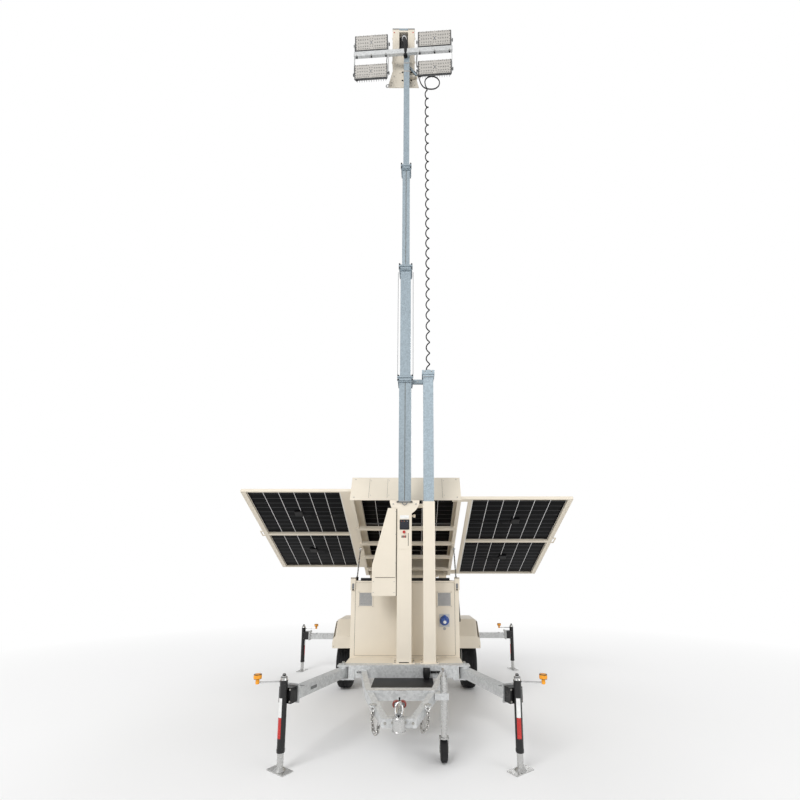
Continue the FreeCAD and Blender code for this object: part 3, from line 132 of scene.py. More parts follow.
def full_turn(count):
    """Even angles round a circle, the last one short of the first."""
    return np.linspace(0, 2 * np.pi, count, endpoint=False)


def around(centre, a, b, angles):
    """Points round an ellipse: centre + a cos t + b sin t for each angle t."""
    t = np.asarray(angles)[:, None]
    return centre + np.cos(t) * a + np.sin(t) * b


def turned(profile, base, axis=Z, sides=24, looped=False):
    """Turn a profile of (height, radius) about an axis: point = base + h axis + r (cos t u + sin t v).

    A looped profile meets its own start, so that the shape is open down the middle.
    """
    axis, u, v = across(axis)
    circle = around(np.zeros(3), u, v, full_turn(sides))
    h, r = np.array(profile, float).T
    return carried(np.asarray(base, float) + h[:, None, None] * axis + r[:, None, None] * circle, looped)


def rod(start, end, radius, sides=20, edge=0.0015):
    """A round bar from start to end with a small chamfer: a turned profile with four heights."""
    start, end = np.asarray(start, float), np.asarray(end, float)
    long = np.linalg.norm(end - start)
    edge = min(edge, radius / 2, long / 3)
    profile = [(0, radius - edge), (edge, radius), (long - edge, radius), (long, radius - edge)]
    return turned(profile, start, end - start, sides)


def rounded(half_x, half_y, corner, steps=3):
    """Outline of a rectangle whose corners are quarter circles of the given radius."""
    corner = min(corner, half_x * 0.98, half_y * 0.98)
    points = []
    for k, (sx, sy) in enumerate(((1, 1), (-1, 1), (-1, -1), (1, -1))):
        t = np.linspace(0, np.pi / 2, steps + 1) + k * np.pi / 2
        points.append(np.stack([sx * (half_x - corner) + corner * np.cos(t),
                                sy * (half_y - corner) + corner * np.sin(t)], 1))
    return np.concatenate(points)


def inset(outline, by):
    """Pull every point of a closed outline in along the mean normal of its two sides."""
    before, after = np.roll(outline, 1, 0), np.roll(outline, -1, 0)
    area = (outline[:, 0] * after[:, 1] - after[:, 0] * outline[:, 1]).sum()
    sides = []
    for a, b in ((before, outline), (outline, after)):
        d = b - a
        d /= np.maximum(np.linalg.norm(d, axis=1), 1e-9)[:, None]
        sides.append(np.stack([-d[:, 1], d[:, 0]], 1) * np.sign(area))
    n = sides[0] + sides[1]
    # At a sharp corner the pull is held to four times the distance.
    share = np.maximum((n * n).sum(1) / 2, 0.25)
    return outline + n * (by / share)[:, None]


def plate(outline, low, high, edge=0.0015, along="z"):
    """Carry a closed outline from low to high along an axis, drawn in by the edge at both ends."""
    outline = np.asarray(outline, float)
    levels = [(low, outline), (high, outline)]
    if edge:
        small = inset(outline, edge)
        levels = [(low, small), (low + edge, outline), (high - edge, outline), (high, small)]
    order = {"z": (0, 1, 2), "y": (0, 2, 1), "x": (2, 0, 1)}[along]
    return carried([np.column_stack([flat, np.full(len(flat), at)])[:, order] for at, flat in levels])


def block(low, high, edge=0.002, corner=None, along="z"):
    """A box with rounded upright edges and chamfered ends: a rounded rectangle carried along one axis."""
    low, high = np.minimum(low, high).astype(float), np.maximum(low, high).astype(float)
    first, second, third = {"z": (0, 1, 2), "y": (0, 2, 1), "x": (1, 2, 0)}[along]
    mid, half = (low + high) / 2, (high - low) / 2
    edge = min(edge, half.min() * 0.6)
    flat = rounded(half[first], half[second], corner or edge) + (mid[first], mid[second])
    return plate(flat, low[third], high[third], edge, along)


def collar(half_out, half_in, spot, low, high, corner=0.006):
    """A square ring open down the middle: outer and inner outlines at both heights, joined round."""
    outer, inner = (rounded(half, half, round_) + spot for half, round_ in ((half_out, corner), (half_in, corner / 2)))
    return carried([np.column_stack([flat, np.full(len(flat), z)])
                    for flat, z in ((outer, low), (outer, high), (inner, high), (inner, low))], looped=True)


def tube(points, radius, sides=10, looped=False):
    """A circle carried along a path: each ring is square to the path, its turn passed on from ring to ring."""
    path = np.asarray(points, float)
    step = np.roll(path, -1, 0) - np.roll(path, 1, 0) if looped else np.gradient(path, axis=0)
    step /= np.linalg.norm(step, axis=1)[:, None]
    _, u, _ = across(step[0])
    rings = []
    for spot, ahead in zip(path, step):
        u = u - ahead * np.dot(u, ahead)
        u /= np.linalg.norm(u)
        rings.append(around(spot, radius * u, radius * np.cross(ahead, u), full_turn(sides)))
    return carried(rings, looped)


def merged(shapes):
    """Several shapes as one."""
    verts, faces, count = [], [], 0
    for v, f in shapes:
        verts.append(np.asarray(v, float))
        faces += [[i + count for i in face] for face in f]
        count += len(v)
    return np.concatenate(verts), faces


def bolt(spot, axis, size=0.008):
    """Washer and six-sided head, each a turned profile."""
    washer = turned([(0, size * 1.15), (size * 0.2, size * 1.15), (size * 0.22, size * 0.9)], spot, axis, 14)
    head = turned([(size * 0.2, size * 0.92), (size * 0.75, size * 0.92), (size * 0.85, size * 0.72)], spot, axis, 6)
    return merged([washer, head])


def tape(spot, radius, low, high, facing, wide):
    """Tape stuck on an upright tube: an arc of a thin wall, r (cos a, sin a) over its width, carried up."""
    angles = np.radians(np.linspace(facing - wide / 2, facing + wide / 2, 12))
    arc = around((0, 0), (1, 0), (0, 1), angles)
    return plate(np.concatenate([arc * (radius + 0.0010), arc[::-1] * (radius - 0.0005)]) + spot, low, high, 0)


def placed(shape, turn=None, move=(0, 0, 0)):
    """Turn a shape by a 3x3 matrix, then move it."""
    verts, faces = shape
    verts = verts if turn is None else verts @ np.asarray(turn).T
    return verts + np.asarray(move, float), faces


def spin(axis, degrees):
    """Rotation matrix about X, Y or Z."""
    return np.array(Matrix.Rotation(math.radians(degrees), 3, axis))


def linked(name, data):
    """A new object in the scene."""
    item = bpy.data.objects.new(name, data)
    bpy.context.scene.collection.objects.link(item)
    return item


def spline_points(name, points, resolution):
    """Points along a smooth NURBS curve through the route's control points, order three with its ends held."""
    curve = bpy.data.curves.new(name, "CURVE")
    curve.dimensions = "3D"
    curve.resolution_u = resolution
    line = curve.splines.new("NURBS")
    line.points.add(len(points) - 1)
    line.points.foreach_set("co", np.column_stack([points, np.ones(len(points))]).ravel())
    line.order_u = 3
    line.use_endpoint_u = True
    holder = linked(name, curve)
    bpy.context.view_layer.update()
    mesh = bpy.data.meshes.new_from_object(holder)
    out = np.zeros(len(mesh.vertices) * 3)
    mesh.vertices.foreach_get("co", out)
    bpy.data.objects.remove(holder)
    bpy.data.curves.remove(curve)
    bpy.data.meshes.remove(mesh)
    return out.reshape(-1, 3)


class Kit(list):
    """Pairs of a shape and its finish, gathered for one piece. Each method takes the finish first."""

    def add(self, finish, *shapes):
        self.extend((shape, finish) for shape in shapes)

    def block(self, finish, *sizes):
        self.add(finish, block(*sizes))

    def pair(self, finish, low, high, *rest):
        """A block and its mirror image on the left."""
        for mirror in ((1, 1, 1), (-1, 1, 1)):
            self.block(finish, np.multiply(low, mirror), np.multiply(high, mirror), *rest)

    def turned(self, finish, *sizes):
        self.add(finish, turned(*sizes))

    def tube(self, finish, *sizes):
        self.add(finish, tube(*sizes))

    def bolts(self, finish, size, axis, xs, ys, zs):
        """Bolts at every meeting of the given places along X, Y and Z."""
        self.add(finish, *(bolt(spot, axis, size) for spot in product(*map(np.atleast_1d, (xs, ys, zs)))))

    def moved(self, turn=None, move=(0, 0, 0)):
        """The same shapes, turned and then moved."""
        return [(placed(shape, turn, move), finish) for shape, finish in self]


def piece(name, parts, body, replaces=(), flat=35):
    """One object from (shape, finish) pairs: its mesh holds the place, smooth but for edges sharper than flat."""
    finishes = list(dict.fromkeys(finish for _, finish in parts))
    kinds = [finishes.index(finish) for shape, finish in parts for _ in shape[1]]
    verts, faces = merged([shape for shape, _ in parts])
    mesh = bpy.data.meshes.new(name)
    mesh.from_pydata(verts.tolist(), [], faces)
    for finish in finishes:
        mesh.materials.append(FINISH[finish])
    mesh.polygons.foreach_set("material_index", kinds)
    mesh.update()
    mesh.shade_smooth()
    mesh.set_sharp_from_angle(angle=math.radians(flat))
    item = linked(name, mesh)
    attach(item, body)
    if replaces:
        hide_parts(*replaces)
    return item


# ---------------------------------------------------------------- finishes

class Tree:
    """The node tree of a material or world, with the few sums and patterns its finishes need."""

    def __init__(self, owner, **sockets):
        owner.use_nodes = True
        self.owner, self.nodes, self.links = owner, owner.node_tree.nodes, owner.node_tree.links
        self.shader = self.nodes.get("Principled BSDF")
        self.coords = self.new("TexCoord", "Object")
        for key, value in sockets.items():
            self.shader.inputs[key.replace("_", " ")].default_value = value

    def feed(self, socket, value):
        """Link a value to a socket, or set it there."""
        if isinstance(value, bpy.types.NodeSocket):
            self.links.new(value, socket)
        else:
            socket.default_value = value

    def new(self, kind, outlet=0, feeds=(), **settings):
        """Add a node with its settings, feed its inputs from (input, value) pairs and return one outlet."""
        item = self.nodes.new("ShaderNode" + kind)
        for key, value in settings.items():
            setattr(item, key, value)
        for key, value in feeds:
            self.feed(item.inputs[key], value)
        return item.outputs[outlet]

    def noise(self, scale, detail=3.0):
        """Noise on object coordinates; scale is features per metre."""
        return self.new("TexNoise", "Fac", (("Scale", scale), ("Detail", detail), ("Vector", self.coords)))

    def ramp(self, value, low, first, high, last):
        """Map a value from one colour at low to another at high; a single number stands for a grey."""
        outlet = self.new("ValToRGB", "Color", (("Fac", value),))
        for element, place, colour in zip(outlet.node.color_ramp.elements, (low, high), (first, last)):
            element.position = place
            element.color = (*(colour if isinstance(colour, tuple) else (colour,) * 3), 1)
        return outlet

    def sum(self, kind, *values):
        """One sum on values or links."""
        return self.new("Math", 0, enumerate(values), operation=kind)

    def mixed(self, share, low, high):
        """Blend two colours, or colour links, by a share."""
        colours = [c if isinstance(c, bpy.types.NodeSocket) else (*c, 1) for c in (low, high)]
        return self.new("Mix", 2, ((0, share), (6, colours[0]), (7, colours[1])), data_type="RGBA")

    def bump(self, height, strength, distance):
        """Feed a height to the shader's normal."""
        feeds = (("Strength", strength), ("Distance", distance), ("Height", height))
        self.feed(self.shader.inputs["Normal"], self.new("Bump", "Normal", feeds))

    def coat(self, colour, rough=None):
        """Feed the shader's colour, and its roughness where one is given; return the material."""
        self.feed(self.shader.inputs["Base Color"], colour)
        if rough is not None:
            self.feed(self.shader.inputs["Roughness"], rough)
        return self.owner


def finish_tree(name, **sockets):
    """A new material's tree; sockets that are the same all over are set straight on its shader."""
    return Tree(bpy.data.materials.new(name), **sockets)


def shades(colour, low, high):
    """A darker and a lighter shade of one colour."""
    return [tuple(min(1, c * k) for c in colour) for k in (low, high)]


def painted(name, colour, rough=0.42, vary=0.035, grain=260, **sockets):
    """Powder coat: broad faint shade changes, orange-peel bump and slightly uneven gloss."""
    t = finish_tree(name, Specular_IOR_Level=0.4, **sockets)
    dark, light = shades(colour, 1 - vary, 1 + vary)
    t.bump(t.noise(grain, 2), 0.12, 0.0006)
    return t.coat(t.ramp(t.noise(2.5, 4), 0.3, dark, 0.7, light),
                  t.ramp(t.noise(14, 3), 0.3, rough - 0.06, 0.75, rough + 0.08))


def spangled(name, colour, metal=0.55, rough=0.42, size=34, stain=0.25):
    """Hot-dip zinc: crystal cells in near shades, cloudy stains and a slight unevenness."""
    t = finish_tree(name, Metallic=metal)
    crystal = t.new("TexVoronoi", "Color", (("Scale", size), ("Vector", t.coords)))
    dark, light = shades(colour, 0.88, 1.10)
    cells = t.ramp(t.new("RGBToBW", 0, ((0, crystal),)), 0.2, dark, 0.8, light)
    cloud = t.ramp(t.noise(3.2, 6), 0.38, stain, 0.72, 0)
    chalk = tuple(min(1, c * 1.22 + 0.03) for c in colour)
    t.bump(t.noise(60, 3), 0.15, 0.001)
    return t.coat(t.mixed(cloud, cells, chalk), t.ramp(t.noise(22, 3), 0.3, rough - 0.1, 0.7, rough + 0.12))


def moulded(name, colour, rough=0.5, grain=420, bump=0.25):
    """Moulded plastic or rubber: fine grain, faint dust in broad patches."""
    t = finish_tree(name, Roughness=rough, Specular_IOR_Level=0.25)
    dust = tuple(min(1, c * 1.35 + 0.010) for c in colour)
    t.bump(t.noise(grain, 2), bump, 0.0005)
    return t.coat(t.ramp(t.noise(7, 5), 0.35, colour, 0.8, dust))


def plain(name, colour, rough=0.4, metal=0.0, vary=0.08, **sockets):
    """A small part's finish: faint shade and gloss changes on one colour."""
    t = finish_tree(name, Metallic=metal, **sockets)
    dark, light = shades(colour, 1 - vary, 1 + vary)
    patch = t.noise(40, 3)
    return t.coat(t.ramp(patch, 0.3, dark, 0.7, light), t.ramp(patch, 0.3, rough - 0.05, 0.7, rough + 0.06))


CELL_GAP, ROW_GAP, BUSBAR = 0.0058, 0.0060, 0.0008
BUSBARS = 10


def module(name, cell, corner, wide, tall, tilt):
    """Solar laminate in the deck's plane: cells split by pale gaps across and along, and faint busbars.

    The object's coordinates are turned level about the hinge, then x / wide and y / tall count cells.
    """
    t = finish_tree(name, Roughness=0.30, Specular_IOR_Level=0.06)
    level = t.new("Mapping", "Vector", (("Location", corner), ("Rotation", (math.radians(-tilt), 0, 0)),
                                        ("Vector", t.coords)), vector_type="TEXTURE")
    split = t.new("SeparateXYZ", 0, ((0, level),)).node.outputs

    def near_line(axis, pitch, line, strength):
        """The strength where the place in its pitch is within half a line of the edge, else nothing."""
        share = t.sum("FRACT", t.sum("DIVIDE", split[axis], pitch))
        off = t.sum("ABSOLUTE", t.sum("SUBTRACT", share, 0.5))
        return t.sum("MULTIPLY", t.sum("GREATER_THAN", off, 0.5 - line / pitch / 2), strength)

    dark, light = shades(cell, 0.85, 1.2)
    base = t.ramp(t.noise(3, 2), 0.35, dark, 0.7, light)
    lined = t.mixed(near_line("X", wide / BUSBARS, BUSBAR, 0.15), base, (0.10, 0.10, 0.11))
    rowed = t.mixed(near_line("Y", tall, ROW_GAP, 0.55), lined, (0.14, 0.14, 0.15))
    return t.coat(t.mixed(near_line("X", wide, CELL_GAP, 0.95), rowed, (0.85, 0.85, 0.86)))


FINISH = {}
HINGE = np.array([0, 1.400, 1.475])
TILT = 27.0
LEVEL = spin("X", -TILT)
WING_INNER, WING_WIDE, WING_LONG = 0.786, 1.106, 1.826
DECK_EDGE, DECK_WIDE, DECK_LONG = 0.605, 1.21, 1.865

# Frame nodes by finish
SIDES = ("front_right", "front_left", "rear_right", "rear_left")
COATS = {
    "cream": ["box_shell", "rear_door", "front_panel", "fenders", "mast_columns", "winch_cover", "deck_frame",
              "wing_frame_right", "wing_frame_left", "mast_controls"],
    "dipped": ["axle", "chassis_frame", "drawbar", "lamp_bar"] + ["arm_" + side for side in SIDES],
    "mast": [f"mast_section_{k}" for k in (1, 2, 3, 4)],
    "zinc": ["coupling", "safety_chains", "jockey_tube", "jockey_leg", "jockey_fork", "strut_rod_right",
             "strut_rod_left"] + ["leg_" + side for side in SIDES],
    "black": ["strut_barrel_right", "strut_barrel_left"] + ["jack_" + side for side in SIDES],
    "rim": ["rim_right", "rim_left"], "dark": ["drawbar_box"], "red": ["rear_lamps"], "inlet": ["power_inlet"],
    "battery": ["battery_block"], "tube": ["cable_tube"], "middle": ["deck_cells"], "tyre": ["jockey_wheel"],
    "wing_right": ["wing_cells_right"], "wing_left": ["wing_cells_left"], "head": ["head_bracket"],
}


class TOWER_OT_finishes(Operator):
    """Make every finish and give each carried-over frame node its own."""

    bl_idname = "tower.finishes"
    bl_label = "Finishes"

    def execute(self, context):
        colours, s = context.scene.tower_colours, context.scene.tower_sizes
        rgb = {key: tuple(getattr(colours, key)) for key in TowerColours.__annotations__}
        FINISH.update(
            cream=painted("Cream powder coat", rgb["cream"]),
            # The head housing gets the box's cream darkened to 0.86: painted shade.
            head=painted("Head powder coat", tuple(c * 0.86 for c in rgb["cream"])),
            rim=painted("Wheel paint", (0.62, 0.62, 0.60), rough=0.38),
            black=painted("Black enamel", rgb["black"], rough=0.30, vary=0.2, Coat_Weight=0.3),
            dipped=spangled("Hot-dip galvanised steel", rgb["galvanised"], metal=0.4, size=60, stain=0.15),
            mast=spangled("Mast tube", rgb["mast"], metal=0.25, rough=0.45, size=70, stain=0.18),
            zinc=plain("Zinc plate", rgb["zinc"], rough=0.27, metal=0.9, vary=0.04),
            bolt=plain("Bolt zinc", (0.42, 0.41, 0.38), rough=0.36, metal=0.8),
            link=plain("Chain zinc", (0.50, 0.49, 0.47), rough=0.22, metal=1.0, vary=0.35),
            dark=moulded("Black plastic", (0.007, 0.007, 0.0075), rough=0.5),
            seam=plain("Shadow gap", (0.10, 0.088, 0.068), rough=0.8),
            tyre=moulded("Tyre rubber", (0.014, 0.014, 0.015), rough=0.72, grain=300, bump=0.4),
            tube=spangled("Cable tube", tuple(c * 1.25 for c in rgb["mast"]), metal=0.25, rough=0.45, size=70,
                          stain=0.1),
            cord=moulded("Cord jacket", (0.012, 0.012, 0.013), rough=0.42, grain=700, bump=0.1),
            lamp=plain("Lamp face", rgb["lamp"], rough=0.35, vary=0.05),
            lens=plain("Lamp lens", (0.20, 0.195, 0.18), rough=0.2, Coat_Weight=0.5),
            case=plain("Lamp casting", (0.035, 0.036, 0.038), rough=0.45, metal=0.2),
            chrome=plain("Bright steel", (0.72, 0.72, 0.72), rough=0.16, metal=1.0),
            inlet=plain("Inlet plastic", rgb["inlet"], rough=0.3, Coat_Weight=0.3),
            plate=plain("Grey plate", (0.56, 0.56, 0.55), rough=0.4, metal=0.2),
            white=plain("White plastic", (0.80, 0.80, 0.79), rough=0.35),
            red=plain("Red plastic", rgb["red"], rough=0.25, Coat_Weight=0.4),
            lock=plain("Lock plastic", (0.24, 0.045, 0.035), rough=0.3),
            amber=plain("Amber lens", (0.75, 0.22, 0.01), rough=0.2, Coat_Weight=0.4),
            orange=plain("Crank knob", rgb["orange"], rough=0.4),
            screen=plain("Display glass", (0.010, 0.012, 0.022), rough=0.08, vary=0.3, Coat_Weight=0.6),
            grey=plain("Grey steel", (0.22, 0.225, 0.23), rough=0.4, metal=0.5),
            mesh=plain("Vent mesh", (0.42, 0.42, 0.42), rough=0.45, metal=0.4),
            battery=moulded("Battery case", (0.02, 0.02, 0.022), rough=0.5),
            middle=module("Deck laminate", rgb["cell"], (DECK_EDGE, *HINGE[1:]), DECK_WIDE / 6, DECK_LONG / 20, TILT),
        )
        for word, hand in HANDS:
            FINISH["wing_" + word] = module(f"Wing laminate {word}", rgb["cell"], (hand * WING_INNER, *HINGE[1:]),
                                            WING_WIDE / s.cell_columns, WING_LONG / s.cell_rows, TILT)
        for finish, names in COATS.items():
            for name in names:
                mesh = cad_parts[name].data
                mesh.materials.clear()
                mesh.materials.append(FINISH[finish])
        return {"FINISHED"}


# Middle of the right road wheel
WHEEL_SPOT = (0.815, 0.800, 0.325)


class TOWER_OT_tyres(Operator):
    """Road tyres with grooves and blocks, and the nuts, cap and valve of each wheel.

    A closed section (crown, shoulders, sidewalls, beads) is turned about the axle; the crown's radius drops
    in ring grooves and in cuts that repeat round the tyre, deep on the shoulders and shallow in the middle.
    """

    bl_idname = "tower.tyres"
    bl_label = "Tyres"

    def execute(self, context):
        sides = context.scene.tower_sizes.tread_blocks * 4
        section = np.array([(-0.058, 0.179), (-0.066, 0.186), (-0.074, 0.200), (-0.085, 0.222), (-0.0935, 0.250),
                            (-0.0935, 0.270), (-0.089, 0.292), (-0.083, 0.304), (-0.077, 0.313), (-0.070, 0.3185),
                            (-0.060, 0.3215), (-0.048, 0.3235), (-0.041, 0.3240), (-0.039, 0.3165), (-0.032, 0.3165),
                            (-0.030, 0.3245), (-0.014, 0.3250), (-0.012, 0.3170), (-0.004, 0.3170), (-0.002, 0.3250)])
        wide, high = np.concatenate([section, section[::-1] * (-1, 1)]).T
        crown = np.clip((high - 0.3185) / 0.004, 0, 1)
        shoulder, middle = crown * (np.abs(wide) > 0.040), crown * (np.abs(wide) < 0.035)
        rings = []
        for k, t in enumerate(full_turn(sides)):
            r = high - 0.006 * shoulder * (k % 4 == 0) - 0.003 * middle * (k % 4 == 2)
            rings.append(np.column_stack([wide, r * np.cos(t), r * np.sin(t)]))
        rubber = carried(rings, looped=True)
        for word, hand in HANDS:
            x, y, z = np.multiply(WHEEL_SPOT, (hand, 1, 1))
            piece(f"tyre_{word}_tread", [(placed(rubber, None, (x, y, z)), "tyre")], "wheel_" + word,
                  ["tyre_" + word], flat=28)
            kit = Kit()
            for nut in around((x + hand * 0.020, y, z), 0.037 * Y, 0.037 * Z, full_turn(6) + math.pi / 6):
                kit.add("bolt", bolt(nut, hand * X, 0.011))
            cap = [(0, 0.026), (0.012, 0.026), (0.02, 0.018), (0.022, 0.006)]
            kit.turned("chrome", cap, (x + hand * 0.044, y, z), hand * X, 28)
            valve = np.array([x + hand * 0.04, y + 0.155, z])
            kit.add("dark", rod(valve, valve + (hand * 0.032, -0.012, 0), 0.004, 10))
            piece("wheel_nuts_" + word, kit, "wheel_" + word)
        return {"FINISHED"}


class TOWER_OT_box_detail(Operator):
    """Front panel gaps, vent mesh, inlet, side doors, corner posts, closing plates, a black strip on the box's top and
    the rear door's handle.
    """

    bl_idname = "tower.box_detail"
    bl_label = "Box detail"

    def execute(self, context):
        kit, face, line = Kit(), -0.3495, 0.0016
        # Gap lines round the two front panels, right and left of the columns.
        for low, high in ((-0.547, -0.085), (0.0, 0.547)):
            for x in (low, high):
                kit.block("seam", (x - line, face, 0.622), (x + line, face + 0.004, 1.39))
            for z in (0.619, 1.393):
                kit.block("seam", (low, face, z - line), (high, face + 0.004, z + line))
        # Vents: a frame of four strips, crossed wires and corner screws round a middle point.
        z, wires, wire = 1.214, 19, 0.0022
        for x in (0.432, -0.432):
            for low, high in ((x - 0.082, x - 0.0705), (x + 0.0705, x + 0.082)):
                kit.block("cream", (low, face - 0.004, 1.132), (high, face + 0.002, 1.296), 0.001)
            for low in (1.132, 1.2845):
                kit.block("cream", (x - 0.082, face - 0.004, low), (x + 0.082, face + 0.002, low + 0.0115), 0.001)
            for at in -0.072 + 0.144 * (np.arange(wires) + 0.5) / wires:
                left, right, low, high = x + at - wire, x + at + wire, z + at - wire, z + at + wire
                kit.block("mesh", (left, face - 0.0015, 1.142), (right, face + 0.0005, 1.287), 0)
                kit.block("mesh", (x - 0.073, face - 0.0022, low), (x + 0.073, face - 0.0002, high), 0)
            kit.bolts("bolt", 0.0035, -Y, (x - 0.076, x + 0.076), face - 0.004, (z - 0.076, z + 0.076))
        piece("front_panel_trim", kit, "chassis")

        kit, x, z = Kit(), 0.432, 0.985
        kit.turned("inlet", [(0, 0.050), (0.004, 0.052), (0.008, 0.050), (0.010, 0.044)], (x, -0.349, z), -Y, 40)
        kit.turned("inlet", [(0, 0.043), (0.040, 0.040), (0.046, 0.036), (0.046, 0.020)], (x, -0.359, z), -Y, 40)
        kit.turned("white", [(0, 0.017), (0.005, 0.017), (0.007, 0.012)], (x, -0.405, 0.975), -Y, 28)
        kit.block("inlet", (0.418, -0.400, 1.022), (0.446, -0.352, 1.046), 0.004, 0.008)
        kit.block("plate", (0.376, -0.3515, 0.918), (0.488, -0.349, 1.056), 0.001, 0.006, "y")
        kit.turned("mesh", [(0, 0.016), (0.004, 0.015)], (x, -0.349, 0.900), -Y, 28)
        for pin in around((x, -0.406, z), 0.022 * X, 0.022 * Z, np.radians((90, 210, 330))):
            kit.turned("bolt", [(0, 0.0035), (0.004, 0.0035)], pin, -Y, 10)
        piece("charging_inlet", kit, "chassis", ["power_inlet"])

        # Two lift-off side doors with latches, louvres and screws on either side, over the wheel arch.
        kit, wall, door = Kit(), 0.595, 0.5985
        for low, high in ((-0.285, 0.515), (0.545, 1.355)):
            kit.pair("cream", (wall - 0.001, low, 0.940), (door, high, 1.375), 0.0015, 0.010, "x")
            mid = (low + high) / 2
            for y in (mid - 0.10, mid + 0.10):
                kit.pair("dark", (door, y - 0.020, 1.300), (door + 0.010, y + 0.020, 1.345), 0.003, 0.006, "x")
            for z in 1.00 + 0.026 * np.arange(6):
                kit.pair("cream", (door - 0.0005, mid - 0.13, z), (door + 0.006, mid + 0.13, z + 0.010),
                         0.002, 0.004, "x")
                kit.pair("seam", (door - 0.0005, mid - 0.126, z - 0.004), (door + 0.0008, mid + 0.126, z), 0)
            for hand in (1, -1):
                for y in (mid - 0.10, mid + 0.10):
                    button = [(0, 0.008), (0.006, 0.008), (0.008, 0.005)]
                    kit.turned("chrome", button, (hand * (door + 0.008), y, 1.322), hand * X, 16)
                kit.bolts("bolt", 0.005, hand * X, hand * door, (low + 0.02, high - 0.02), (0.965, 1.350))
        # Hook plate, pin and slot at the box's upper front corners, and the arches' screws.
        kit.pair("grey", (0.562, -0.361, 1.330), (0.586, -0.357, 1.385), 0.001, 0.005, "y")
        kit.pair("seam", (0.548, -0.3585, 1.440), (0.600, -0.3575, 1.449), 0)
        kit.bolts("dark", 0.008, -Y, (0.574, -0.574), -0.361, 1.318)
        for hand in (1, -1):
            kit.bolts("bolt", 0.006, hand * X, hand * wall, (0.33, 0.56, 0.80, 1.04, 1.27), 0.930)
        # Closing plates under the deck's hinge line, and a black strip along the front of the box's top.
        for low, high in ((-0.590, -0.470), (-0.395, 0.395), (0.470, 0.590)):
            kit.block("cream", (low, 1.396, 1.4125), (high, 1.406, 1.480), 0.002, 0.004, "x")
        kit.block("dark", (-0.495, -0.330, 1.4125), (0.495, -0.290, 1.446), 0.002, 0.006, "x")
        piece("box_fittings", kit, "chassis")

        kit, x = Kit(), -0.46
        kit.block("dark", (x - 0.030, 1.419, 0.960), (x + 0.030, 1.430, 1.070), 0.003, 0.010, "y")
        grip = ((1.428, 0.975), (1.452, 0.985), (1.455, 1.015), (1.452, 1.045), (1.428, 1.055))
        kit.tube("dark", [(x, *spot) for spot in grip], 0.006, 12)
        kit.block("cream", (-0.490, 1.4195, 0.700), (0.490, 1.4235, 1.300), 0.0015, 0.012, "y")
        kit.turned("chrome", [(0, 0.011), (0.006, 0.011), (0.008, 0.008)], (x, 1.42, 1.11), Y, 20)
        piece("rear_door_handle", kit, "rear_door")
        return {"FINISHED"}


